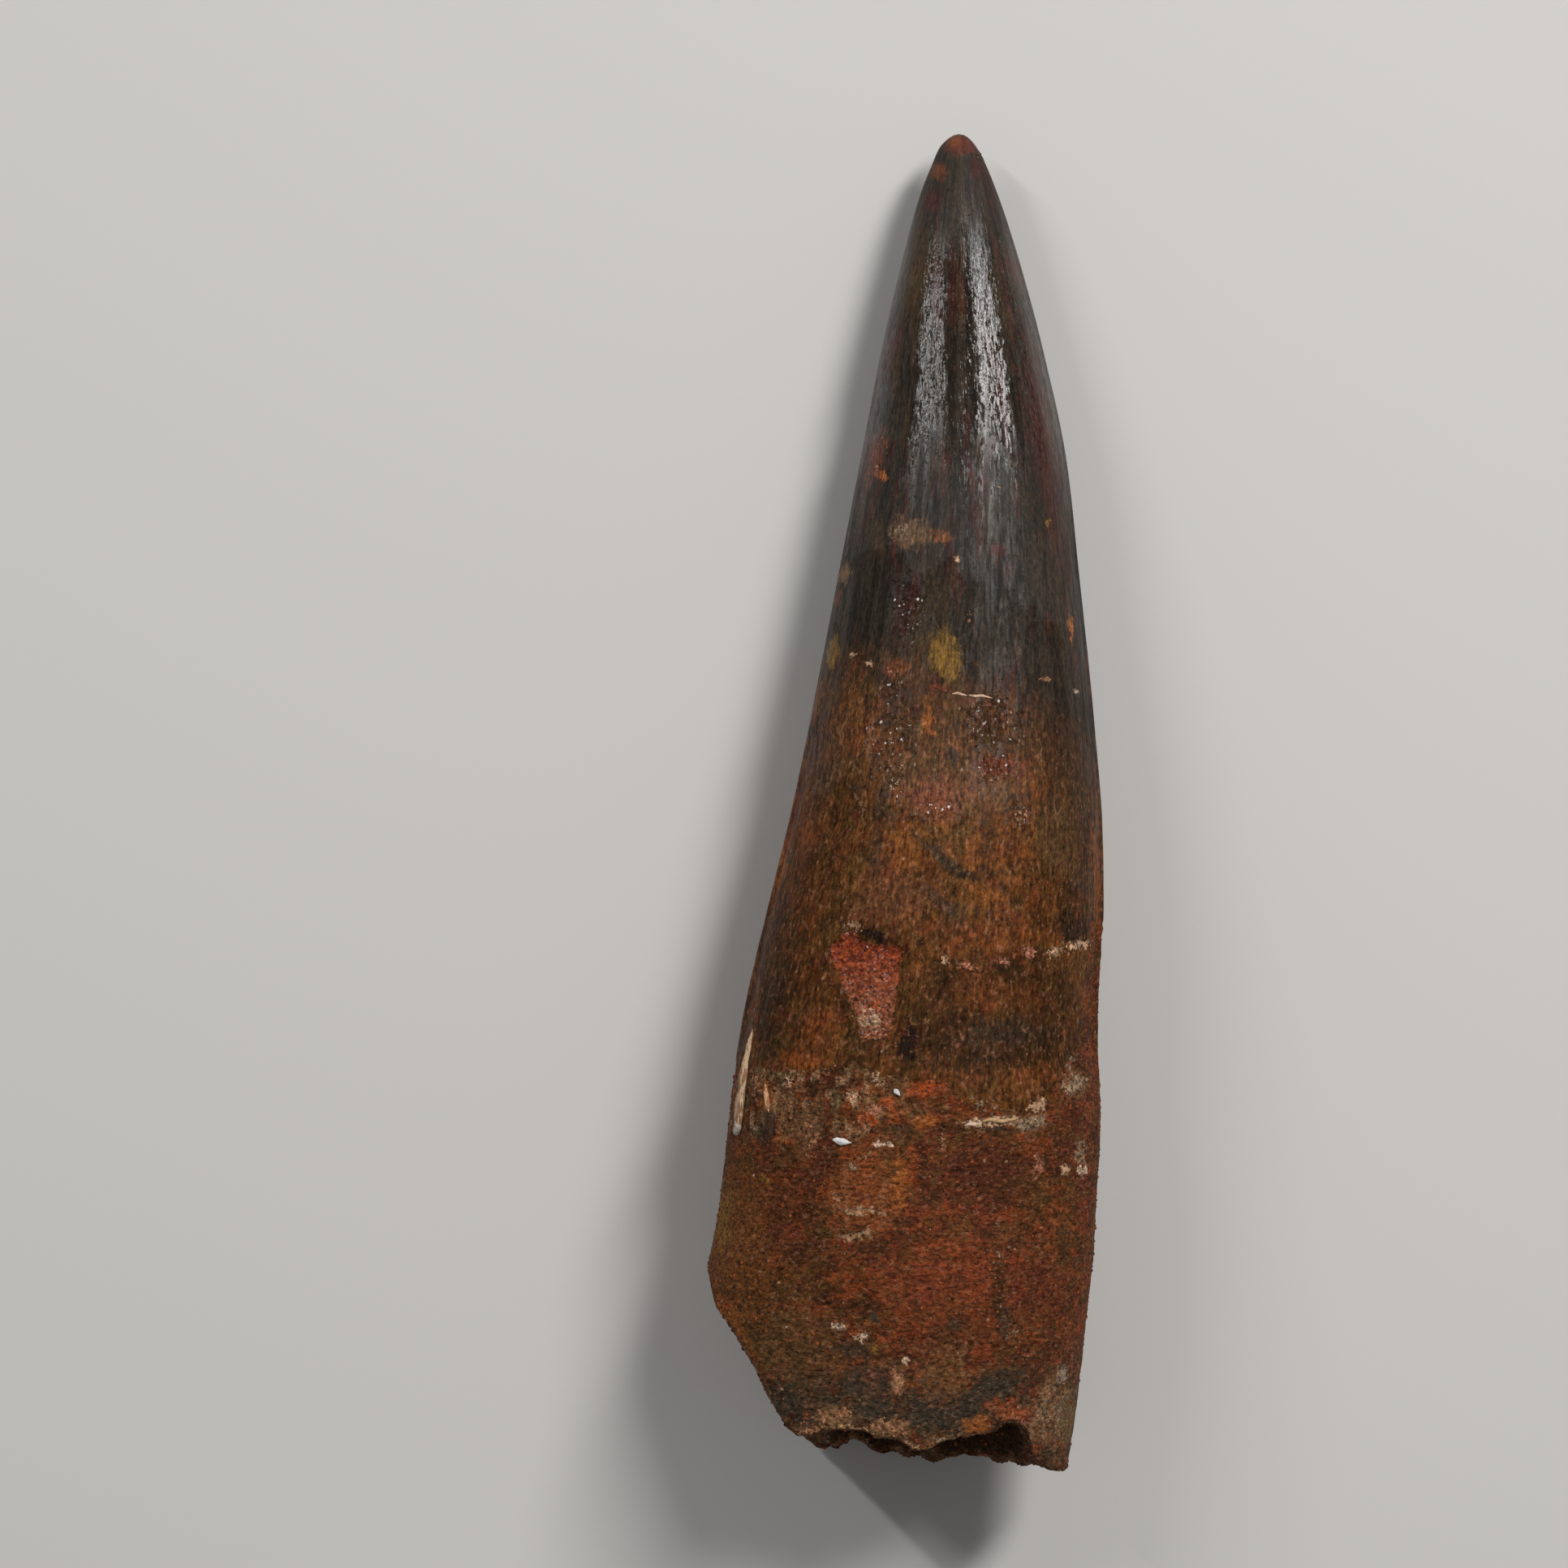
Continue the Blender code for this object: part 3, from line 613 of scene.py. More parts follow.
# Stains, worn places, crusts, and painted light and shade: x, s, half width, half length, turn in degrees,
# colour, strength, softness.
STAINS_AND_PAINTED_LIGHT = (
    # The tip and the dark part.
    (4.1, 0.8, 1.1, 0.8, 0, BRICK, 0.7, 0.8),
    (3.6, 0.5, 0.5, 0.4, 0, RUST, 0.6, 0.6),
    (2.4, 2.9, 0.6, 0.6, 0, RUST, 0.5, 0.6),
    (5.3, 2.7, 0.5, 0.8, 0, CRIMSON, 0.6, 0.5),
    (1.9, 5.1, 0.4, 0.8, 10, CRIMSON, 0.7, 0.5),
    (8.0, 10.1, 0.4, 1.7, -14, CRIMSON, 0.7, 0.6),
    (10.1, 23.0, 0.9, 9.0, -8, CRIMSON, 0.6, 0.8),
    (-1.2, 16.3, 0.5, 2.5, 14, CRIMSON, 0.6, 0.7),
    (0.7, 10.2, 1.3, 2.7, 10, OLIVE, 0.35, 0.8),
    (-2.4, 24.2, 0.5, 2.1, 12, BRICK, 0.75, 0.5),
    (-1.9, 25.4, 0.3, 0.5, 0, ORANGE, 0.8, 0.4),
    (0.3, 29.9, 1.4, 1.0, 5, TAN, 0.5, 0.6),
    (2.4, 30.1, 0.7, 0.5, 0, ORANGE, 0.4, 0.6),
    (-4.6, 32.9, 0.3, 0.7, 12, TAN, 0.8, 0.4),
    (-5.2, 34.7, 0.3, 0.6, 12, BRICK, 0.8, 0.4),
    (-5.5, 38.5, 0.3, 1.0, 12, OCHRE, 0.8, 0.4),
    (6.7, 31.2, 0.4, 0.5, 0, CRIMSON, 0.9, 0.4),
    (6.5, 32.1, 0.4, 0.3, 0, UMBER, 0.9, 0.4),
    (9.5, 33.1, 0.5, 2.8, -4, SLATE, 0.7, 0.6),
    (10.3, 29.0, 0.2, 0.4, 0, OCHRE, 0.8, 0.4),
    (2.7, 38.9, 1.0, 1.7, -8, OCHRE, 0.8, 0.5),
    (-0.8, 39.7, 0.8, 0.6, 0, RUST, 0.7, 0.5),
    (12.1, 37.0, 0.2, 0.8, 0, ORANGE, 0.8, 0.4),
    (2.3, 41.3, 0.9, 0.2, 8, BRICK, 0.8, 0.4),
    # The brown part.
    # The first five rows are painted shade: broad umber patches that darken the brown part towards its right
    # and left sides, where less light falls. The sixth is painted light: a faint tan patch that lightens the
    # middle.
    (12.0, 49.5, 2.8, 8.0, 0, UMBER, 0.55, 0.8),
    (8.6, 63.4, 5.0, 2.0, 0, UMBER, 0.6, 0.8),
    (9.4, 66.0, 2.8, 2.6, 0, UMBER, 0.6, 0.7),
    (-9.6, 61.5, 2.8, 6.6, 10, UMBER, 0.5, 0.9),
    (-6.4, 51.0, 2.0, 6.0, 12, UMBER, 0.3, 0.9),
    (3.0, 48.0, 4.2, 4.2, 0, TAN, 0.2, 0.9),
    (6.5, 44.5, 2.6, 3.4, 0, UMBER, 0.35, 0.8),
    (10.8, 52.5, 1.8, 2.4, 0, OLIVE, 0.6, 0.7),
    (-8.9, 51.5, 0.5, 4.0, 14, BRICK, 0.6, 0.6),
    (1.4, 43.7, 0.4, 0.9, 0, ORANGE, 0.7, 0.5),
    (1.6, 44.5, 0.4, 0.3, 0, ORANGE, 0.8, 0.4),
    (-7.0, 44.6, 0.4, 0.5, 0, BLACK, 0.9, 0.4),
    (-7.0, 46.3, 0.3, 1.5, 14, CRIMSON, 0.8, 0.4),
    (6.5, 47.1, 1.5, 0.8, 0, BRICK, 0.65, 0.5),
    (5.0, 46.8, 0.5, 0.6, 0, CRIMSON, 0.6, 0.5),
    (3.2, 46.4, 0.4, 0.7, 0, SLATE, 0.8, 0.5),
    (-2.0, 49.7, 0.5, 1.1, 0, SLATE, 0.6, 0.6),
    (-2.3, 53.5, 0.5, 1.6, 8, SLATE, 0.5, 0.7),
    (-0.2, 51.0, 0.3, 0.4, 0, BLACK, 0.7, 0.5),
    (1.7, 49.3, 2.2, 1.3, 0, BLUSH, 0.55, 0.7),
    (3.7, 51.7, 0.9, 0.7, 0, OLIVE, 0.6, 0.6),
    (0.0, 53.0, 1.4, 1.7, 0, AMBER, 0.6, 0.5),
    (4.6, 53.5, 0.6, 1.2, 0, AMBER, 0.65, 0.5),
    (6.7, 52.9, 1.8, 1.8, 0, RUST, 0.3, 0.8),
    (2.5, 53.7, 0.4, 2.5, -51, SLATE, 0.75, 0.6),
    (4.4, 55.1, 0.6, 0.4, 0, BLACK, 0.75, 0.6),
    (5.2, 56.5, 1.6, 0.9, 0, ORANGE, 0.4, 0.6),
    (2.5, 57.1, 0.4, 2.0, -46, SLATE, 0.65, 0.6),
    (3.4, 58.2, 1.1, 1.2, 0, SLATE, 0.5, 0.7),
    (-0.9, 56.7, 2.9, 1.9, 0, MUD, 0.5, 0.7),
    (13.0, 55.2, 0.4, 2.5, 0, UMBER, 0.6, 0.6),
    (12.2, 59.0, 1.6, 1.1, 0, BLACK, 0.75, 0.4),
    (14.0, 55.8, 0.3, 4.8, -2, RUST, 0.65, 0.5),
    (-7.4, 52.2, 0.8, 1.3, 14, RUST, 0.5, 0.6),
    (-9.4, 54.5, 0.4, 1.8, 14, ORANGE, 0.5, 0.6),
    (5.5, 59.4, 2.7, 1.4, 0, RUST, 0.35, 0.7),
    (-2.5, 59.5, 1.1, 0.3, 12, BLACK, 0.9, 0.5),
    (-8.6, 61.9, 0.5, 0.5, 0, UMBER, 0.75, 0.5),
    (-10.7, 65.1, 1.1, 3.1, 4, UMBER, 0.6, 0.6),
    (1.9, 64.8, 1.7, 4.2, 0, UMBER, 0.55, 0.6),
    (6.4, 64.0, 3.5, 1.1, 0, RUST, 0.3, 0.7),
    (6.8, 67.5, 6.5, 1.8, 0, UMBER, 0.75, 0.5),
    (7.1, 66.5, 2.7, 1.2, 0, SLATE, 0.5, 0.6),
    (-0.1, 67.4, 0.7, 1.2, 0, BLACK, 0.8, 0.5),
    (13.7, 63.9, 0.5, 3.7, 0, RUST, 0.55, 0.4),
    (-7.9, 68.6, 1.5, 0.7, 0, RUST, 0.75, 0.5),
    (-11.3, 65.9, 0.2, 2.8, 4, RUST, 0.5, 0.5),
    # The root.
    # Painted light: a tawny patch that lightens the root's left side, where more light falls.
    (-13.0, 81.5, 3.4, 5.5, 4, TAWNY, 0.8, 0.8),
    (-4.6, 78.2, 0.2, 2.4, 0, TAN, 0.6, 0.4),
    (-1.9, 78.4, 0.3, 2.2, 0, TAN, 0.5, 0.4),
    (-3.3, 78.0, 0.2, 2.3, 0, FLAME, 0.4, 0.5),
    (0.2, 76.2, 0.5, 1.5, 0, FLAME, 0.45, 0.6),
    (3.4, 84.2, 4.6, 2.6, 0, FLAME, 0.2, 0.9),
    (1.3, 70.6, 1.4, 0.5, 0, FLAME, 0.75, 0.5),
    (-3.1, 72.7, 0.6, 0.5, 0, FLAME, 0.8, 0.5),
    (-1.4, 71.6, 0.5, 0.4, 0, FLAME, 0.7, 0.5),
    (1.1, 72.8, 0.8, 0.4, 0, ORANGE, 0.7, 0.5),
    (-10.3, 71.3, 0.5, 1.0, 8, ORANGE, 0.7, 0.5),
    (-9.6, 74.2, 0.4, 0.7, 20, ORANGE, 0.6, 0.5),
    (-12.0, 71.0, 0.3, 1.4, 4, MOULD, 0.8, 0.5),
    (-9.9, 70.2, 0.3, 0.8, 10, UMBER, 0.7, 0.5),
    (12.2, 70.4, 1.0, 0.9, 0, TAN, 0.4, 0.5),
    (-9.2, 72.4, 0.7, 1.8, 6, TAN, 0.55, 0.6),
    (-7.6, 73.7, 0.7, 2.0, 0, TAN, 0.5, 0.6),
    (-10.4, 73.4, 0.5, 1.3, 15, SLATE, 0.75, 0.5),
    # Painted shadow: a thin slate line just below the orange filling, where its shadow falls.
    (6.5, 73.6, 1.3, 0.2, 0, SLATE, 0.8, 0.5),
    (8.8, 72.8, 1.3, 0.8, 20, TAN, 0.5, 0.6),
    (5.8, 76.7, 3.5, 2.3, 0, PURPLE, 0.7, 0.7),
    (-6.6, 74.1, 1.3, 3.3, 0, PURPLE, 0.4, 0.7),
    (-8.3, 80.0, 2.2, 3.2, 0, PURPLE, 0.4, 0.8),
    (-3.1, 78.1, 2.8, 2.8, 0, COPPER, 0.55, 0.25),
    (-0.7, 77.4, 0.4, 2.2, 0, ORANGE, 0.65, 0.5),
    (-2.4, 78.6, 0.2, 1.8, 0, RUST, 0.6, 0.5),
    (-10.6, 77.2, 0.3, 0.4, 0, OCHRE, 0.8, 0.4),
    (-3.5, 79.5, 1.6, 0.2, 4, CREAM, 0.6, 0.5),
    (-4.1, 81.3, 1.2, 0.2, -8, CREAM, 0.5, 0.5),
    (-13.7, 80.4, 0.7, 2.5, 5, OCHRE, 0.7, 0.6),
    (-12.8, 87.9, 0.7, 2.3, -32, ORANGE, 0.75, 0.5),
    (-10.6, 87.6, 3.0, 3.0, 0, OLIVE, 0.4, 0.8),
    (-8.6, 89.4, 3.6, 3.0, 0, DUN, 0.55, 0.8),
    (5.8, 85.5, 6.9, 4.5, 0, BRICK, 0.4, 0.8),
    (-6.2, 85.8, 0.5, 0.5, 0, BLACK, 0.75, 0.5),
    (-2.5, 87.1, 0.4, 0.5, 0, SLATE, 0.9, 0.5),
    (3.3, 87.7, 0.5, 0.4, 0, SLATE, 0.7, 0.5),
    (6.5, 84.9, 0.5, 2.7, 0, UMBER, 0.7, 0.7),
    (6.8, 87.6, 0.5, 1.2, 0, SLATE, 0.7, 0.6),
    (-4.1, 89.6, 1.0, 0.7, 0, SLATE, 0.75, 0.5),
    (2.7, 91.4, 1.5, 2.3, 0, FAWN, 0.5, 0.7),
    (-1.5, 94.2, 10.5, 1.5, 0, SLATE, 0.6, 0.8),
    (-9.4, 93.5, 2.0, 1.4, 0, SLATE, 0.9, 0.5),
    (-3.1, 92.4, 2.2, 1.6, 0, SLATE, 0.75, 0.6),
    (-2.8, 94.1, 1.4, 0.7, 0, SLATE, 0.9, 0.5),
    (5.6, 93.0, 1.2, 3.6, 56, SLATE, 0.9, 0.5),
    (1.4, 94.6, 2.2, 1.0, 0, SLATE, 0.9, 0.5),
    (-5.5, 94.4, 1.3, 0.7, 0, TAN, 0.7, 0.5),
    (-1.5, 95.2, 1.2, 0.5, 0, TAN, 0.7, 0.5),
    (-0.8, 92.0, 0.4, 1.0, 0, PINK, 0.75, 0.4),
    (7.3, 94.3, 1.7, 0.7, 20, FLAME, 0.6, 0.7),
    (5.0, 95.0, 0.9, 0.5, 0, ORANGE, 0.7, 0.5),
    (7.3, 95.8, 1.2, 0.8, 0, BLACK, 0.8, 0.5),
    (10.6, 94.9, 1.6, 2.0, 0, TAN, 0.6, 0.6),
    (11.9, 94.6, 0.7, 2.2, 6, MOSS, 0.5, 0.6),
    (10.2, 93.4, 0.3, 1.9, 24, BUFF, 0.45, 0.7),
    (9.2, 95.4, 0.2, 1.2, 12, BUFF, 0.4, 0.7),
    (11.3, 91.8, 0.3, 0.6, 20, PALE, 0.6, 0.6),
    (-2.4, 89.4, 0.2, 0.5, 0, OCHRE, 0.7, 0.5),
    (4.0, 89.9, 0.1, 1.2, 3, TAN, 0.55, 0.5),
    (13.1, 91.1, 0.5, 3.6, 4, OLIVE, 0.5, 0.6),
)
# Fine cracks in the enamel, drawn in the same way: x, s, half width, half length, turn in degrees.
CRACKS = (
    (-3.0, 39.1, 0.10, 1.6, -70), (2.5, 41.5, 0.08, 1.2, -78), (10.8, 40.5, 0.08, 1.1, 68),
    (4.1, 61.8, 0.12, 1.9, -72), (7.6, 61.2, 0.12, 1.8, 66), (10.2, 60.6, 0.12, 1.6, 84),
    (12.6, 60.2, 0.12, 1.3, 76), (-1.0, 62.6, 0.10, 3.2, 6), (-3.6, 69.0, 0.10, 1.7, -52),
)
# Pale scratches, in the same way.
SCRATCHES = (
    (2.2, 48.4, 0.05, 0.95, -34), (-3.8, 47.2, 0.05, 0.65, -22), (3.6, 51.8, 0.05, 0.55, 34),
    (-2.8, 44.6, 0.08, 1.9, 8), (-4.6, 44.4, 0.07, 1.6, 12), (-5.6, 47.5, 0.06, 1.3, 13),
    (-3.4, 50.8, 0.05, 1.5, 9), (9.6, 46.0, 0.05, 1.6, -4), (10.8, 50.4, 0.05, 1.2, -4),
)
# Lime and pale clay in cracks and pores, and two clusters of painted glints: x, s, half width, half length,
# turn, how thick with crumbs, colour.
LIME_AND_SPARKLE_SPOTS = (
    (-2.9, 65.5, 1.0, 0.8, 0, 9, LIME),
    (-2.3, 62.4, 1.4, 2.0, 0, 3, ROSE),
    (-4.1, 58.8, 0.6, 0.5, 0, 7, LIME),
    (2.6, 61.2, 0.3, 0.3, 0, 12, LIME),
    (4.2, 61.7, 1.1, 0.3, 12, 7, ROSE),
    (7.1, 61.4, 0.3, 0.3, 0, 9, ROSE),
    (8.8, 60.7, 0.5, 0.5, 0, 12, ROSE),
    (10.7, 60.7, 0.7, 0.3, -8, 12, LIME),
    (12.5, 60.2, 1.1, 0.3, -12, 10, LIME),
    (-2.4, 69.8, 0.4, 0.5, -20, 14, LIME),
    (-4.1, 71.2, 0.6, 0.5, 0, 12, LIME),
    (-2.4, 72.1, 0.7, 0.5, 0, 9, ROSE),
    (-8.9, 70.1, 0.4, 0.5, 0, 9, LIME),
    (-11.2, 70.4, 0.6, 1.2, 0, 8, CLAY),
    (-10.4, 71.1, 0.8, 1.3, 0, 5, CLAY),
    (-8.6, 71.6, 0.5, 1.1, 12, 6, CLAY),
    (-7.3, 74.0, 0.8, 1.8, 0, 5, CLAY),
    (-11.4, 73.6, 0.4, 0.9, 0, 6, ASH),
    (-4.0, 73.8, 0.6, 0.8, 0, 7, CLAY),
    (6.2, 73.0, 2.3, 0.4, -3, 13, LIME),
    (4.9, 73.1, 0.8, 0.3, 0, 14, BONE),
    (5.2, 71.6, 1.4, 0.5, 12, 4, ASH),
    (9.5, 71.9, 0.8, 0.5, -20, 13, LIME),
    (8.9, 73.2, 1.2, 0.5, -14, 12, ASH),
    (12.2, 70.4, 1.0, 0.9, 0, 9, ASH),
    (12.0, 68.8, 0.4, 0.7, 0, 6, ASH),
    (12.7, 75.6, 0.5, 1.1, 0, 8, ASH),
    (11.6, 76.6, 0.4, 0.4, 0, 12, LIME),
    (12.9, 76.7, 0.4, 0.4, 0, 12, BONE),
    (9.5, 76.3, 0.4, 0.8, 0, 8, ROSE),
    (2.5, 74.6, 0.2, 0.7, 0, 8, CLAY),
    (-2.3, 74.6, 0.4, 0.3, 0, 14, BONE),
    (-1.4, 74.6, 0.4, 0.2, 0, 14, BONE),
    (-3.4, 75.5, 1.0, 0.3, 5, 6, CLAY),
    (-4.2, 76.3, 0.5, 0.5, 0, 7, ASH),
    (-3.5, 79.5, 1.6, 0.2, 4, 11, CLAY),
    (-4.2, 81.3, 1.3, 0.2, -8, 10, CLAY),
    (-5.2, 78.6, 0.5, 0.6, 0, 6, CLAY),
    # These two sparse clusters are painted glints: pale crumbs that stand for sparkles of light on the root's
    # sand.
    (6.5, 82.8, 1.0, 2.5, 0, 1.6, ASH),
    (7.6, 88.6, 0.8, 1.8, 0, 1.8, ASH),
    (4.9, 86.4, 6.0, 4.8, 0, 0.16, CLAY),
    (-5.2, 87.9, 0.6, 0.3, 0, 16, BONE),
    (-3.5, 88.6, 0.4, 0.4, 0, 14, BONE),
    (-0.3, 90.3, 0.4, 0.2, 0, 14, BONE),
    (-8.6, 85.5, 1.0, 0.7, 20, 2.5, CLAY),
    (-0.8, 91.9, 0.5, 0.9, 0, 8, CLAY),
    (-6.4, 94.5, 0.5, 0.5, 0, 10, CLAY),
    (-4.8, 94.2, 0.7, 0.5, 0, 10, CLAY),
    (-1.8, 95.1, 1.0, 0.5, 0, 10, CLAY),
    (-0.6, 95.5, 0.7, 0.4, 0, 9, CLAY),
    (2.8, 96.1, 1.4, 0.2, 0, 6, ASH),
    (7.3, 94.3, 1.6, 0.8, 20, 4, CLAY),
    (8.6, 94.9, 0.5, 0.6, 0, 8, ROSE),
    (10.6, 94.7, 1.4, 1.9, 0, 5, ASH),
    (11.3, 91.7, 0.4, 0.7, 20, 9, ASH),
    (-7.1, 95.5, 1.3, 0.4, 25, 6, CLAY),
    (6.5, 47.4, 1.4, 0.8, 0, 1.5, LIME),
    (8.2, 50.7, 0.6, 0.5, 0, 5, LIME),
    (1.7, 49.5, 0.5, 0.3, 0, 4, ROSE),
    (4.4, 36.0, 0.5, 0.7, 0, 4, CLAY),
    (3.6, 31.8, 0.2, 0.2, 0, 12, LIME),
    (-4.1, 38.9, 0.2, 0.2, 0, 12, LIME),
    (-2.9, 39.5, 0.3, 0.2, 0, 12, LIME),
    (12.4, 41.6, 0.2, 0.2, 0, 12, BONE),
    (10.1, 40.7, 0.5, 0.2, -14, 11, CLAY),
    (-1.9, 24.0, 0.5, 1.5, 10, 3, CLAY),
    (-0.4, 29.8, 1.0, 0.6, 5, 6, ASH),
    (5.5, 1.6, 0.5, 0.4, 0, 4, ASH),
    (4.9, 27.6, 7.2, 25.0, 0, 0.04, ASH),
)


def reach_on_top(points, x, s, wide, long, turn=0.0):
    """Distance from a spot on the upper side, as a share of its half width and half length."""
    angle = math.radians(turn)
    across = (points[:, 0] - x) * math.cos(angle) + (points[:, 1] - s) * math.sin(angle)
    along = (points[:, 1] - s) * math.cos(angle) - (points[:, 0] - x) * math.sin(angle)
    return np.hypot(across / wide, along / long) + 9.0 * (points[:, 2] < top_height(x, s) - 4.0)


def lime_and_sparkle_at(points):
    """For places on the surface: how thick with crumbs, how far crusted over, and the lime's colour."""
    crumbs = np.zeros(len(points))
    crust = np.zeros(len(points))
    tints = np.tile(np.array(SANDY), (len(points), 1))
    for *spot, count, tint in LIME_AND_SPARKLE_SPOTS:
        reach = reach_on_top(points, *spot)
        here = min(count / 12, 1.0) * np.clip(1.4 - reach, 0.0, 1.0)
        tints[here > crust] = tint
        crust = np.maximum(crust, here)
        crumbs = np.maximum(crumbs, count * (reach < 1.0))
    return crumbs, crust, tints


def ragged_place(f):
    """The place in mm, pushed about by noise so that what is drawn with it isn't straight."""
    wander = f.vector("SUBTRACT", f.noise(f.place, 1.5, 4.0, 0.7, colour=True), (0.5, 0.5, 0.5))
    return f.vector("ADD", f.place, f.stretch(wander, 1.9, 1.9, 1.9))


def reach(f, place, x, s, wide, long, turn):
    """Distance from a spot on the upper side, as a share of its half width and half length."""
    inputs = {
        "Vector": place,
        "Location": (x, s, top_height(x, s)),
        "Rotation": (0.0, 0.0, math.radians(turn)),
        "Scale": (wide, long, 4.0 + 0.5 * long),
    }
    return f.vector("LENGTH", f.add("ShaderNodeMapping", inputs, vector_type="TEXTURE").outputs[0])


def stained(f, colour, place, torn, first, last):
    """Lays the stains and painted light and shade between first and last (mm from the tip) over a colour. Torn
    frays their outlines.
    """
    for x, s, wide, long, turn, tint, strength, soft in STAINS_AND_PAINTED_LIGHT:
        if first <= s < last:
            spread = f.math("ADD", reach(f, place, x, s, wide, long, turn), torn)
            shown = f.ramp(spread, 1.0 + 0.7 * soft, 1.0 - 0.7 * soft)
            colour = f.mix(f.math("MULTIPLY", shown, strength), colour, tint)
    return colour


def crusted(f, colour):
    """Lays the lime in pores and hollows over a colour, in torn flecks."""
    crust = f.named("crust")
    cover = f.math("MULTIPLY_ADD", crust, 0.30, f.noise(f.place, 0.42, 5.0, 0.75))
    cover = f.all_of(f.ramp(cover, 0.63, 0.68), f.ramp(crust, 0.02, 0.12))
    tint = f.add("ShaderNodeAttribute", attribute_name="tint").outputs["Color"]
    return f.mix(cover, colour, f.scale(tint, f.all_of(f.grain(f.place, 0.32, 6.0), 0.75)))


def fibres(f):
    """Fine light and dark lines down the enamel, between 0 and 1."""
    return f.noise(f.stretch(f.named("flow"), 1.0, 0.14, 1.0), 0.20, 3.0, 0.7)


def enamel_colour(f, place, first, last):
    """Nearly black enamel that turns brown below, with painted glints, and the stains and painted light and
    shade between first and last, in mm.
    """
    flow = f.named("flow")
    streak = f.noise(f.stretch(flow, 1.0, 0.10, 1.0), 0.8, 4.0, 0.65)
    torn = f.math("MULTIPLY_ADD", f.noise(f.stretch(flow, 1.0, 0.45, 1.0), 0.45, 4.0, 0.75), 3.0, -1.5)
    dark = f.mix(f.ramp(streak, 0.36, 0.64), SOOT, COAL)
    dark = f.clouds(dark, f.stretch(flow, 1.0, 0.25, 1.0), 1.9, ((CRIMSON, 0.5), (OLIVE, 0.3), (SLATE, 0.4)))
    brown = f.mix(f.ramp(streak, 0.32, 0.68), BARK, TAWNY)
    brown = f.clouds(brown, f.place, 3.6, ((RUST, 0.5), (OLIVE, 0.6), (UMBER, 0.7)), 0.51, 0.60)
    brown = f.clouds(brown, f.stretch(flow, 1.0, 0.6, 1.0), 0.9, ((BRICK, 0.45), (UMBER, 0.6), (OLIVE, 0.6)))
    browned = f.ramp(f.math("MULTIPLY_ADD", torn, 2.4, f.named("brown")), -4.0, 3.0)
    colour = stained(f, f.mix(browned, dark, brown), place, torn, first, last)
    fine = f.stretch(flow, 1.0, 0.6, 1.0)
    worn = f.clouds(colour, fine, 0.30, ((PINK, 0.34), (CRIMSON, 0.5), (UMBER, 0.55)), 0.56, 0.62)
    colour = f.mix(browned, colour, worn)
    lines = f.math("MULTIPLY_ADD", fibres(f), 2.6, -0.3)
    colour = f.scale(colour, f.all_of(lines, f.grain(f.stretch(flow, 1.0, 0.5, 1.0), 0.24, 3.4)))
    for marks, tint, strength in ((CRACKS, UMBER, 0.75), (SCRATCHES, TAN, 0.8)):
        for mark in marks:
            if first <= mark[1] < last:
                near = f.math("ADD", reach(f, place, *mark), f.math("MULTIPLY", torn, 0.5))
                colour = f.mix(f.all_of(f.ramp(near, 1.5, 0.5), strength), colour, tint)
    # Painted glints: pale specks that stand for sparkles of light on the brown enamel, thickest on the glazed
    # spots.
    share = f.math("MULTIPLY_ADD", f.named("glaze"), 0.22, 0.010)
    glints = f.all_of(f.specks(fine, 0.36, share), browned, 0.7)
    return crusted(f, f.mix(glints, colour, PAINTED_GLINT))


def root_colour(f, place, first, last):
    """Red-brown dentine with olive, slate and purple clouds, and the stains, painted light and painted shadow
    between first and last.
    """
    parts = f.add("ShaderNodeSeparateXYZ", {0: place}).outputs
    flat = f.stretch(f.place, 0.65, 1.0, 0.65)
    torn = f.math("MULTIPLY_ADD", f.noise(f.place, 0.55, 4.0, 0.75), 3.0, -1.5)
    colour = f.mix(f.ramp(f.noise(flat, 0.9, 3.0, 0.6), 0.34, 0.64), DARK_DENTINE, RED_DENTINE)
    colour = f.clouds(colour, f.place, 4.0, ((BRICK, 0.6), (OLIVE, 0.55), (PURPLE, 0.65)), 0.51, 0.58)
    colour = f.clouds(colour, flat, 1.1, ((FLAME, 0.28), (UMBER, 0.6), (OLIVE, 0.5)), 0.53, 0.58)
    if first < BASE_START - 5.0:
        tall = f.stretch(f.place, 1.0, 0.5, 1.0)
        neck = f.clouds(colour, tall, 0.85, ((BUFF, 0.85), (UMBER, 0.75), (MOSS, 0.45)), 0.52, 0.55)
        colour = f.mix(f.all_of(f.ramp(parts["Y"], 75.0, 73.0), f.ramp(parts["X"], 3.0, -6.0)), colour, neck)
    else:
        base = f.clouds(colour, f.place, 1.2, ((SLATE, 0.85), (UMBER, 0.6), (TAN, 0.35)), 0.50, 0.56)
        colour = f.mix(f.ramp(parts["Y"], 88.5, 93.5), colour, base)
    colour = stained(f, colour, place, torn, first, last)
    colour = f.clouds(colour, flat, 0.32, ((PINK, 0.30), (UMBER, 0.50), (PURPLE, 0.5)), 0.56, 0.61)
    return crusted(f, f.scale(colour, f.grain(flat, 0.24, 3.8)))


def bed_colour(f, place):
    """Raw red dentine under the lost flake, pinker towards the root."""
    s = f.add("ShaderNodeSeparateXYZ", {0: place}).outputs["Y"]
    colour = f.mix(f.ramp(s, 60.5, 65.5), RAW_RED, RAW_PINK)
    colour = f.clouds(colour, f.place, 0.7, ((FLAME, 0.6), (CRIMSON, 0.6), (UMBER, 0.4)))
    return crusted(f, f.scale(colour, f.grain(f.place, 0.26, 4.8)))


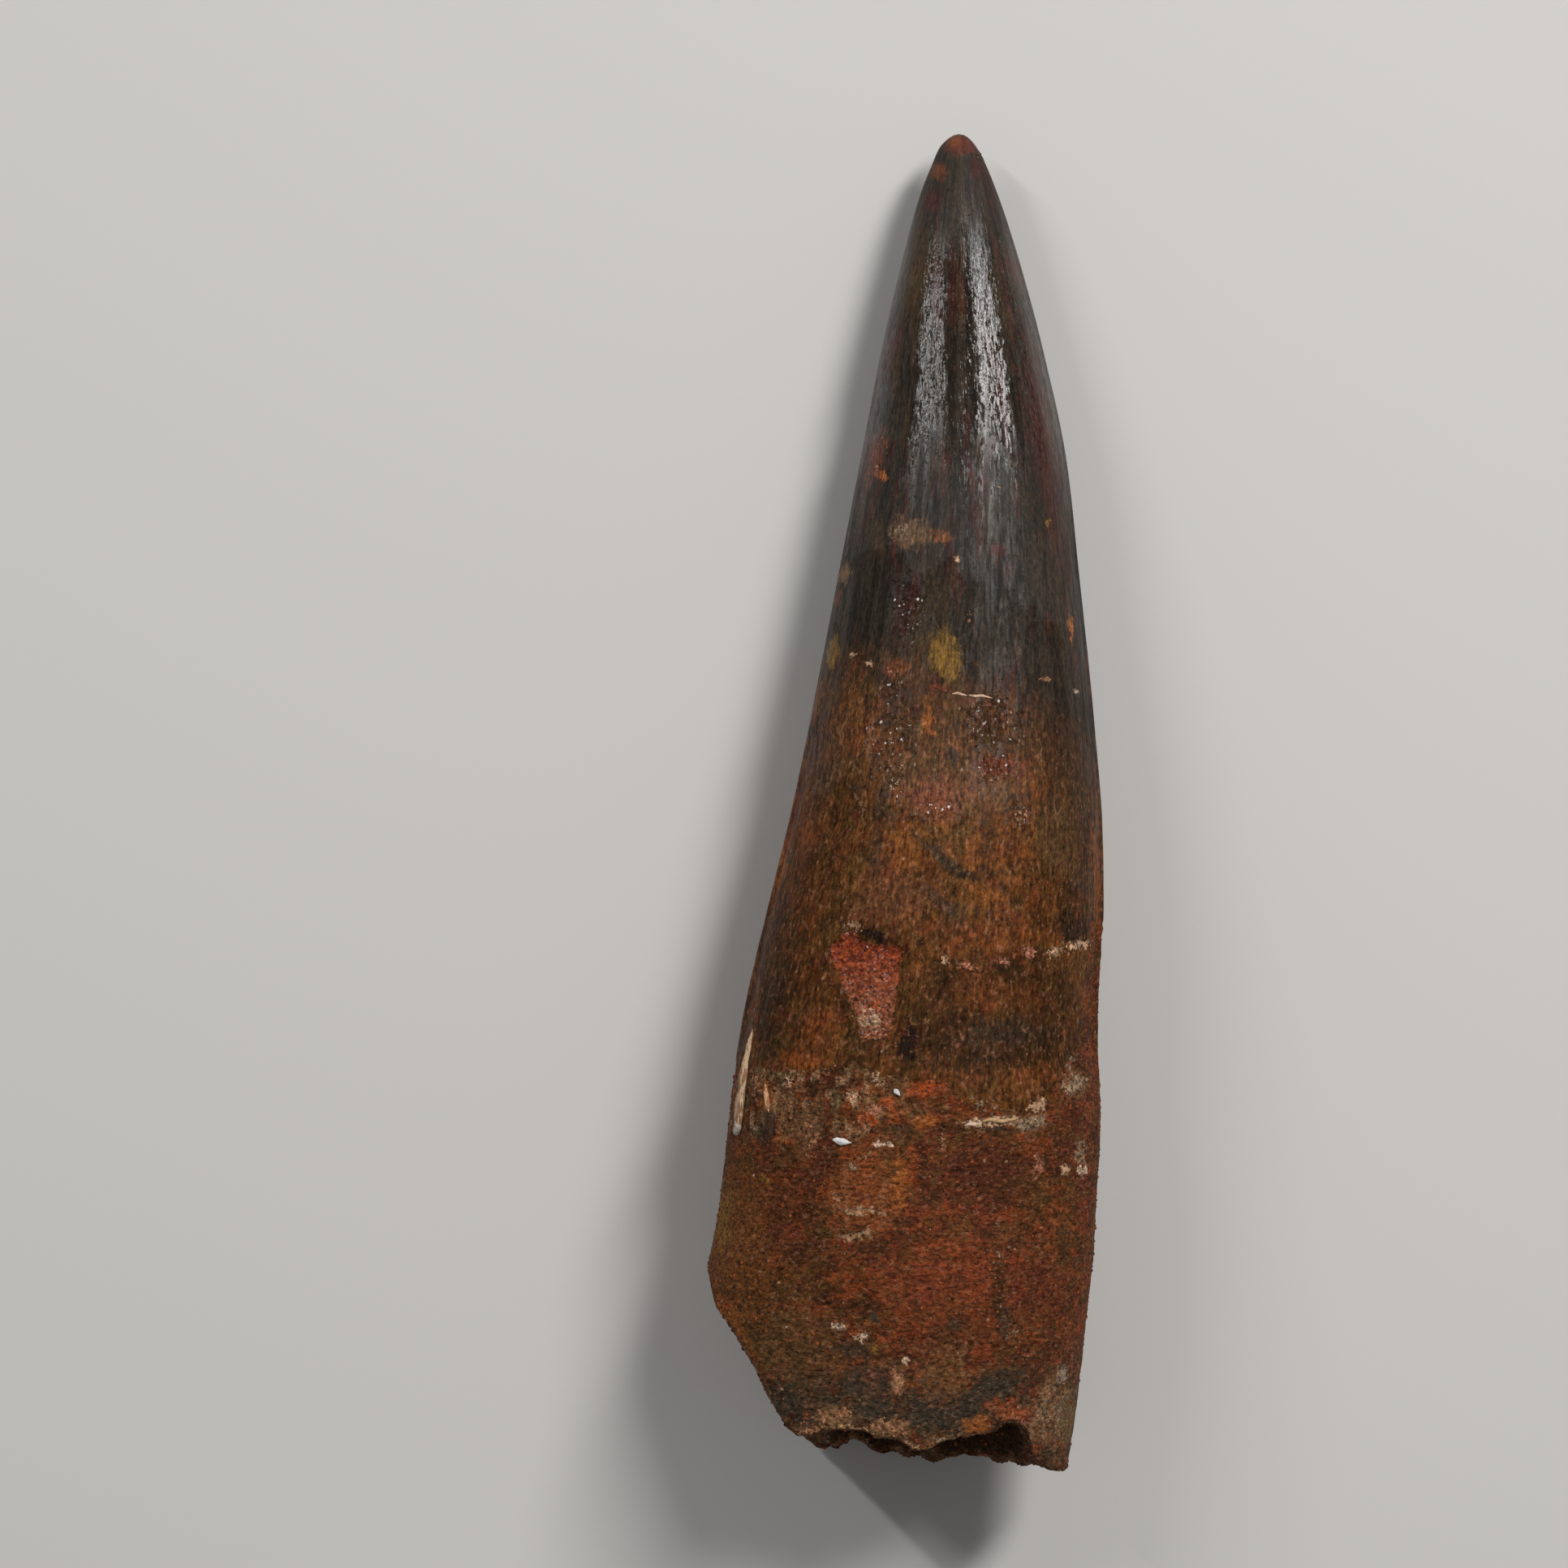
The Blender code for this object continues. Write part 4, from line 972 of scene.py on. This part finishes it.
def past(f, name):
    """1 where the surface is past one of its torn boundaries and 0 before it."""
    fine = f.math("MULTIPLY_ADD", f.noise(f.place, 0.30, 3.0, 0.7), 0.8, -0.4)
    return f.ramp(f.math("ADD", f.named(name), fine), -0.05, 0.06)


# Dull enamel's roughness follows its gloss, so that its sheen doesn't change where two finishes meet.
BRIGHT_GLOSS = 0.34
SATIN_GLOSS = 0.14
WORN_GLOSS = 0.04


def enamel_finish(name, first, last, gloss, joined=False):
    """Enamel between first and last (mm from the tip). Small facets break its highlights into flecks."""
    f = Finish(name)
    flow = f.named("flow")
    place = ragged_place(f)
    s = f.add("ShaderNodeSeparateXYZ", {0: place}).outputs["Y"]
    frayed = f.math("MULTIPLY_ADD", f.noise(f.place, 0.5, 3.0, 0.7), 3.0, -1.5)
    glazed = f.ramp(f.math("ADD", f.named("glaze"), frayed), 0.45, 0.75)
    streak = f.noise(f.stretch(flow, 1.0, 0.12, 1.0), 0.5, 3.0, 0.65)
    even = (gloss / SATIN_GLOSS) ** 0.25
    fading = f.blend(f.ramp(s, 40.0, 58.0), even, 1.35 * even)
    dull = f.all_of(f.blend(f.ramp(streak, 0.40, 0.60), 0.36, 0.58), fading)
    shiny = f.blend(f.ramp(streak, 0.42, 0.62), 0.08, 0.15)
    polished = f.all_of(f.ramp(s, 32.0, 18.0), f.ramp(s, 3.5, 11.0))
    rough = f.blend(f.math("MAXIMUM", polished, glazed), dull, shiny)
    lean = f.blend(f.ramp(s, 4.0, 26.0), 0.07, 0.16)
    flecks = f.all_of(f.facets(f.stretch(flow, 1.0, 0.35, 1.0), 0.20), lean)
    ridges = f.all_of(fibres(f), 0.012)
    pebbles = f.all_of(f.facets(f.place, 0.17), f.blend(glazed, 0.08, 1.3))
    colour = enamel_colour(f, place, first, last)
    if joined:
        colour = f.mix(past(f, "bare"), colour, root_colour(f, place, 69.5, 74.0))
        colour = f.mix(past(f, "flake"), colour, bed_colour(f, place))
    bump = f.bump(sum_of(f, flecks, ridges, pebbles))
    f.set(Base_Color=colour, Roughness=rough, Normal=bump, Specular_IOR_Level=gloss)
    return f.material


def root_finish(name, first, last, joined=False):
    """The root's dentine: dull and gritty with the fine sand that is cemented to it."""
    f = Finish(name)
    place = ragged_place(f)
    colour = root_colour(f, place, first, last)
    if joined:
        colour = f.mix(past(f, "bare"), enamel_colour(f, place, 62.0, 69.5), colour)
    flat = f.stretch(f.place, 0.5, 1.0, 0.5)
    grit = f.all_of(f.noise(flat, 0.30, 3.0, 0.7), 0.15)
    height = f.math("ADD", grit, f.all_of(f.noise(flat, 0.8, 3.0, 0.6), 0.20))
    f.set(Base_Color=colour, Roughness=0.70, Normal=f.bump(height), Specular_IOR_Level=0.07)
    return f.material


def flake_finish():
    """The bed of the lost flake, rough with glittering grains."""
    f = Finish("flake_bed")
    place = ragged_place(f)
    colour = f.mix(past(f, "flake"), enamel_colour(f, place, 52.0, 69.5), bed_colour(f, place))
    crystals = f.all_of(f.facets(f.place, 0.18), 1.0)
    height = f.math("ADD", crystals, f.all_of(f.noise(f.place, 0.5, 3.0, 0.7), 0.14))
    f.set(Base_Color=colour, Roughness=0.20, Normal=f.bump(height), Specular_IOR_Level=0.25)
    return f.material


def break_finish():
    """The broken dentine and the cavity's lining: dark, earthy and coated with fine sand."""
    f = Finish("broken_dentine")
    zone = f.named("zone")
    grain = f.noise(f.place, 0.25, 3.0, 0.75)
    colour = f.mix(f.ramp(f.noise(f.place, 1.6, 4.0), 0.38, 0.62), DARK_BREAK, PALE_BREAK)
    colour = f.clouds(colour, f.place, 1.1, ((RUST, 0.5), (TAN, 0.5), (UMBER, 0.7)))
    colour = f.clouds(colour, f.place, 0.45, ((CREAM, 0.35), (BRICK, 0.6), (SLATE, 0.6)), 0.55, 0.62)
    colour = f.mix(f.ramp(zone, 1.2, 1.8), colour, f.mix(grain, DARK_LINING, PALE_LINING))
    colour = f.scale(colour, f.math("MAXIMUM", f.math("MULTIPLY_ADD", grain, 3.2, -0.55), 0.15))
    f.set(Base_Color=colour, Roughness=0.85, Normal=f.bump(f.all_of(grain, 0.16)), Specular_IOR_Level=0.12)
    return f.material


tooth_finishes = {
    "Glossy enamel": enamel_finish("glossy_enamel", 0.0, 46.0, BRIGHT_GLOSS),
    "Satin enamel": enamel_finish("satin_enamel", 26.0, 58.0, SATIN_GLOSS),
    "Worn enamel": enamel_finish("worn_enamel", 45.0, 62.0, WORN_GLOSS),
    "Lower enamel": enamel_finish("lower_enamel", 49.0, 69.5, WORN_GLOSS, joined=True),
    "Glazed enamel": enamel_finish("glazed_enamel", 30.0, 58.0, BRIGHT_GLOSS),
    "Neck finish": root_finish("root_neck", 69.5, 86.0, joined=True),
    "Base finish": root_finish("root_base", 76.0, 99.5),
    "Flake finish": flake_finish(),
    "Break finish": break_finish(),
}
tooth = grow("fossil_tooth", tooth_mesh(), tooth_relief(), **tooth_finishes)
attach(tooth, "root")
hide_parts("tooth")

# Fine sand from the ground that the tooth lay in. It is quartz and rust in rounded grains, and iron cements
# it to the root and to everything that is broken.
SAND = {"Stones per mm2": 3.6, "Smallest": 0.03, "Largest": 0.13, "Seed": 7}
GRIT = {"Stones per mm2": 5.0, "Smallest": 0.05, "Largest": 0.17, "Seed": 11}
# No stone lies lower than this above the table, in mm.
LOWEST_STONE = 0.25
# Towards the base this share of the sand is lost, between these places.
SAND_LOST = 0.75
SAND_THINS = (88.0, 92.0)


def surface_with(thick):
    """A copy of the tooth's surface that carries how thickly stones lie on it."""
    mesh = tooth.data.copy()
    mesh.attributes.new("thick", "FLOAT", "POINT").data.foreach_set("value", thick.astype(np.float32))
    return mesh


def stones(name, sizes, subdivisions=1):
    """Scatters small uneven stones over the base mesh, as thickly as it says, and keeps only them."""
    g = Relief(name, sizes)
    per_area = g.all_of(g.named("thick"), g.given["Stones per mm2"], 1 / MM**2)
    scatter = {"Mesh": g.given["Geometry"], "Density": per_area, "Seed": g.given["Seed"]}
    spots = g.add("GeometryNodeDistributePointsOnFaces", scatter).outputs
    ball = g.add("GeometryNodeMeshIcoSphere", {"Radius": MM, "Subdivisions": subdivisions}).outputs[0]
    share = g.math("POWER", g.random(0.0, 1.0, 1), 2.2)
    size = g.blend(share, g.given["Smallest"], g.given["Largest"])
    flat = g.math("MULTIPLY", size, g.random(0.35, 0.9, 2))
    long = g.math("MULTIPLY", size, g.random(1.0, 1.7, 3))
    turn = {"X": g.random(-0.4, 0.4, 4), "Y": g.random(-0.4, 0.4, 5), "Z": g.random(0.0, 6.3, 6)}
    tilt = g.add("ShaderNodeCombineXYZ", turn).outputs[0]
    turned = {"Rotation": spots["Rotation"], "Rotate By": tilt}
    placed = {
        "Points": spots["Points"],
        "Instance": ball,
        "Rotation": g.add("FunctionNodeRotateRotation", turned, rotation_space="LOCAL").outputs[0],
        "Scale": g.add("ShaderNodeCombineXYZ", {"X": size, "Y": long, "Z": flat}).outputs[0],
    }
    lying = g.add("GeometryNodeInstanceOnPoints", placed).outputs[0]
    chance = {"Geometry": lying, "Name": "chance", "Value": g.random(0.0, 1.0, 9)}
    lying = g.add("GeometryNodeStoreNamedAttribute", chance, data_type="FLOAT", domain="INSTANCE").outputs[0]
    whole = g.add("GeometryNodeRealizeInstances", {"Geometry": lying}).outputs[0]
    uneven = g.vector("SUBTRACT", g.noise(g.position, 0.10 * MM, 1.0, colour=True), (0.5, 0.5, 0.5))
    moved = g.stretch(uneven, 0.14 * MM, 0.14 * MM, 0.14 * MM)
    return g.end(g.add("GeometryNodeSetPosition", {"Geometry": whole, "Offset": moved}).outputs[0])


def grain_finish(name, stops, rough, gloss):
    """Stones whose colours are picked by chance from stops: share, colour."""
    f = Finish(name)
    ramp = f.add("ShaderNodeValToRGB", {"Fac": f.named("chance")})
    ramp.color_ramp.interpolation = "CONSTANT"
    for place, colour in stops[1:]:
        ramp.color_ramp.elements.new(place).color = as_colour(colour)
    ramp.color_ramp.elements[0].color = as_colour(stops[0][1])
    ramp.color_ramp.elements.remove(ramp.color_ramp.elements[-1])
    f.set(Base_Color=ramp.outputs[0], Roughness=rough, Specular_IOR_Level=gloss)
    return f.material


corners = np.array([vertex.co[:] for vertex in tooth.data.vertices]) / MM
corner_x = corners[:, 0] - X_ZERO
corner_s = S_ZERO - corners[:, 1]
corner_z = corners[:, 2]


def carried(name):
    """What the tooth's surface carries under a name, for each corner point."""
    values = np.zeros(len(tooth.data.vertices), dtype=np.float32)
    tooth.data.attributes[name].data.foreach_get("value", values)
    return values


clear = (corner_z > LOWEST_STONE) * 1.0
thinned = 1 - SAND_LOST * step(corner_s, *SAND_THINS)
on_root = step(carried("bare"), -0.2, 0.8) * (carried("zone") < 0.3) * thinned
on_break = (carried("zone") >= 0.3) * 1.0
sand_stops = (
    (0.0, (0.100, 0.030, 0.009)), (0.30, (0.20, 0.048, 0.013)), (0.55, (0.035, 0.015, 0.007)),
    (0.72, (0.32, 0.078, 0.020)), (0.88, (0.13, 0.070, 0.024)), (0.97, (0.30, 0.17, 0.10)),
    (0.993, (0.50, 0.40, 0.30)),
)
sand_material = grain_finish("sand", sand_stops, 0.5, 0.15)
scatter_sand = stones("scatter_sand", SAND)
sand = grow("sand_on_root", surface_with(on_root * clear), scatter_sand, Material=sand_material)
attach(sand, "root")

# Coarser grit on the broken wall and inside the pulp cavity. It is the same sand, held by a crust of iron
# and lime where rain has never washed it out.
scatter_grit = stones("scatter_grit", GRIT)
grit = grow("grit_in_break", surface_with(on_break * clear), scatter_grit, Material=sand_material)
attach(grit, "root")

# Crumbs of lime and pale clay. They are the soft filling of cracks and pores, and they stay in the crack
# across the crown, below the enamel's edge and along the broken rim. Two sparse clusters of pale crumbs on the
# root are painted glints, standing for sparkling grains of sand.
CRUMB_SIZES = {"Stones per mm2": 0.9, "Smallest": 0.03, "Largest": 0.14, "Seed": 5}


def crumb_finish():
    f = Finish("lime_crumbs")
    tint = f.add("ShaderNodeAttribute", attribute_name="tint").outputs["Color"]
    bright = f.math("MULTIPLY_ADD", f.math("POWER", f.named("chance"), 2.0), 0.8, 0.2)
    shade = f.scale(tint, f.all_of(bright, f.grain(f.place, 0.10, 3.0)))
    f.set(Base_Color=shade, Roughness=0.7, Specular_IOR_Level=0.2)
    return f.material


crumbed, _, _ = lime_and_sparkle_at(np.stack((corner_x, corner_s, corner_z), axis=-1))
scatter_crumbs = stones("scatter_crumbs", CRUMB_SIZES, 2)
crumbs = grow("lime_crumbs", surface_with(crumbed * clear), scatter_crumbs, Material=crumb_finish())
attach(crumbs, "root")

# Splinters of enamel and lens-shaped lime fillings that stand a little above the surface. Each one is a
# thin sliver that is stuck in its own hollow.
# Name, colour, how far it stands out, then its line: x, s, half width.
SLIVERS = (
    ("cream_splinter", (0.62, 0.42, 0.26), 0.30, (
        (-11.76, 66.40, 0.02), (-11.86, 67.60, 0.14), (-12.06, 69.00, 0.28), (-12.24, 70.80, 0.46),
        (-12.40, 72.30, 0.50), (-12.58, 73.44, 0.36), (-12.70, 74.10, 0.02),
    )),
    ("orange_splinter", (0.70, 0.38, 0.19), 0.2, (
        (-10.50, 70.30, 0.02), (-10.42, 70.74, 0.16), (-10.36, 71.40, 0.20), (-10.28, 72.00, 0.13),
        (-10.22, 72.40, 0.02),
    )),
    ("white_lens", (0.84, 0.84, 0.82), 0.16, (
        (-5.60, 74.30, 0.02), (-5.30, 74.32, 0.21), (-4.94, 74.40, 0.28), (-4.58, 74.46, 0.19),
        (-4.22, 74.52, 0.02),
    )),
    ("white_grain", (0.74, 0.73, 0.70), 0.22, (
        (-1.08, 70.56, 0.03), (-0.96, 70.74, 0.20), (-0.78, 70.92, 0.16), (-0.66, 71.10, 0.02),
    )),
    ("cream_filling_left", (0.74, 0.50, 0.33), 0.12, (
        (3.18, 41.76, 0.02), (3.60, 41.70, 0.12), (4.02, 41.82, 0.10), (4.38, 41.88, 0.02),
    )),
    ("cream_filling_right", (0.74, 0.50, 0.33), 0.12, (
        (4.44, 41.82, 0.02), (4.92, 41.94, 0.12), (5.40, 41.88, 0.10), (6.24, 42.06, 0.02),
    )),
    ("orange_filling", (0.58, 0.36, 0.18), 0.16, (
        (5.22, 72.96, 0.02), (5.88, 72.84, 0.16), (6.72, 72.96, 0.17), (7.56, 72.84, 0.13),
        (8.04, 72.66, 0.02),
    )),
    ("pale_filling", (0.72, 0.52, 0.38), 0.14, (
        (4.02, 73.26, 0.02), (4.38, 73.14, 0.12), (4.80, 73.20, 0.14), (5.16, 73.02, 0.02),
    )),
    ("grey_white_tip", (0.46, 0.44, 0.38), 0.33, (
        (-12.50, 73.08, 0.08), (-12.56, 73.46, 0.36), (-12.62, 73.80, 0.28), (-12.70, 74.20, 0.02),
    )),
)
SLIVER_SIDES = 14
SLIVER_STEPS = 26


def on_skin(x, s):
    """A place on the upper side and the direction straight out from it, in the tables' mm."""
    x_mid, _, half_width, half_height = (float(value) for value in section(s))
    angle = math.acos(min(max((x - x_mid) / half_width, -0.995), 0.995))
    out = Vector((math.cos(angle) / half_width, 0.0, math.sin(angle) / half_height)).normalized()
    x_skin, z_skin = (float(value) for value in skin(s, np.array(angle)))
    return Vector((x_skin, s, z_skin)), out


def sliver_mesh(name, stands, line_points):
    """A closed sliver along a line, with torn edges and a slightly ridged back."""
    rows = np.array(line_points)
    spots = np.linspace(0, len(rows) - 1, SLIVER_STEPS)
    x, s, wide = (np.interp(spots, np.arange(len(rows)), rows[:, column]) for column in range(3))
    points = []
    for i in range(SLIVER_STEPS):
        middle, out = on_skin(x[i], s[i])
        j, k = max(i - 1, 0), min(i + 1, SLIVER_STEPS - 1)
        along = on_skin(x[k], s[k])[0] - on_skin(x[j], s[j])[0]
        across = along.cross(out).normalized()
        for side in range(SLIVER_SIDES):
            turn = 2 * math.pi * side / SLIVER_SIDES
            torn = 1 + 0.35 * noise.noise(Vector((x[i] * 2.1, s[i] * 2.1, math.cos(turn) * 1.5)))
            ridge = 1 + 0.5 * noise.noise(Vector((x[i] * 3, s[i] * 1.2, turn)))
            height = stands * ridge * min(1, wide[i] / 0.12)
            point = middle + across * (wide[i] * torn * math.cos(turn)) + out * (height * math.sin(turn))
            points.append(point)
    shape = bmesh.new()
    verts = [shape.verts.new(Vector(to_frame(*point).tolist())) for point in points]
    for i in range(SLIVER_STEPS - 1):
        for side in range(SLIVER_SIDES):
            after = (side + 1) % SLIVER_SIDES
            first, second = i * SLIVER_SIDES, (i + 1) * SLIVER_SIDES
            shape.faces.new([verts[n] for n in (first + side, first + after, second + after, second + side)])
    shape.faces.new(verts[:SLIVER_SIDES])
    shape.faces.new(verts[-SLIVER_SIDES:])
    bmesh.ops.recalc_face_normals(shape, faces=shape.faces)
    mesh = bpy.data.meshes.new(name)
    shape.to_mesh(mesh)
    shape.free()
    mesh.shade_smooth()
    return mesh


def sliver_finish(name, colour):
    """Chalky and dirty in the grooves. A long splinter's fibres run along it."""
    f = Finish(name)
    along = f.stretch(f.place, 1.0, 0.15, 1.0) if "splinter" in name else f.place
    grain = f.noise(along, 0.26, 3.0, 0.7)
    red, green, blue = colour
    dirt = (0.40 * red, 0.30 * green, 0.22 * blue)
    low, high = (0.42, 0.56) if "splinter" in name else (0.30, 0.46)
    shade = f.scale(f.mix(f.ramp(grain, low, high), dirt, colour), f.grain(f.place, 0.12, 1.6))
    f.set(Base_Color=shade, Roughness=0.5, Normal=f.bump(f.all_of(grain, 0.06)), Specular_IOR_Level=0.3)
    return f.material


for name, colour, stands, line_points in SLIVERS:
    sliver = bpy.data.objects.new(name, sliver_mesh(name, stands, line_points))
    bpy.context.scene.collection.objects.link(sliver)
    sliver.data.materials.append(sliver_finish(name, colour))
    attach(sliver, "root")

# The pale table, the soft light and the camera. They aren't part of the tooth.
FLOOR_SIZE = 12.0
CAMERA_HEIGHT = 0.80
FRAME_WIDTH = 0.1159
FRAME_MIDDLE = (-9.12, 48.36)
OUTLINE_HEIGHT = 0.010
WARM_WHITE = (1.0, 0.985, 0.97)
# Softboxes: name, place, width, length, power in watts, colour of the light.
SOFTBOXES = (
    ("right", (0.27, 0.30, 0.50), 0.105, 0.30, 2.6, WARM_WHITE),
    ("left", (-0.34, 0.30, 0.47), 0.022, 0.30, 0.8, WARM_WHITE),
)
ROOM_LIGHT = (0.16, 0.16, 0.16)
PAPER = (0.74, 0.73, 0.71)
PAPER_ROUGHNESS = 0.9

floor_mesh = bpy.data.meshes.new("floor")
corner = FLOOR_SIZE / 2
floor_points = [(x * corner, y * corner, 0.0) for x, y in ((-1, -1), (1, -1), (1, 1), (-1, 1))]
floor_mesh.from_pydata(floor_points, [], [(0, 1, 2, 3)])
floor = bpy.data.objects.new("floor", floor_mesh)
bpy.context.scene.collection.objects.link(floor)
paper = bpy.data.materials.new("pale_paper")
paper.use_nodes = True
paper.node_tree.nodes["Principled BSDF"].inputs["Base Color"].default_value = as_colour(PAPER)
paper.node_tree.nodes["Principled BSDF"].inputs["Roughness"].default_value = PAPER_ROUGHNESS
floor_mesh.materials.append(paper)

world = bpy.data.worlds.new("room")
world.use_nodes = True
world.node_tree.nodes["Background"].inputs["Color"].default_value = (*ROOM_LIGHT, 1.0)
world.node_tree.nodes["Background"].inputs["Strength"].default_value = 1.0
bpy.context.scene.world = world

middle_x = (FRAME_MIDDLE[0] + X_ZERO) * MM
middle_y = (S_ZERO - FRAME_MIDDLE[1]) * MM
for name, spot, wide, long, power, tint in SOFTBOXES:
    light = bpy.data.lights.new("softbox_" + name, "AREA")
    light.shape = "RECTANGLE"
    light.size = wide
    light.size_y = long
    light.energy = power
    light.color = tint
    box = bpy.data.objects.new("softbox_" + name, light)
    box.location = spot
    aim = Vector(spot)
    box.rotation_euler = aim.to_track_quat("Z", "Y").to_euler()
    box.visible_camera = False
    bpy.context.scene.collection.objects.link(box)

camera_data = bpy.data.cameras.new("camera")
camera_data.lens = camera_data.sensor_width * (CAMERA_HEIGHT - OUTLINE_HEIGHT) / FRAME_WIDTH
camera_data.clip_start = 0.01
camera = bpy.data.objects.new("camera", camera_data)
camera.location = (middle_x, middle_y, CAMERA_HEIGHT)
bpy.context.scene.collection.objects.link(camera)
bpy.context.scene.camera = camera
bpy.context.scene.view_settings.view_transform = "Standard"
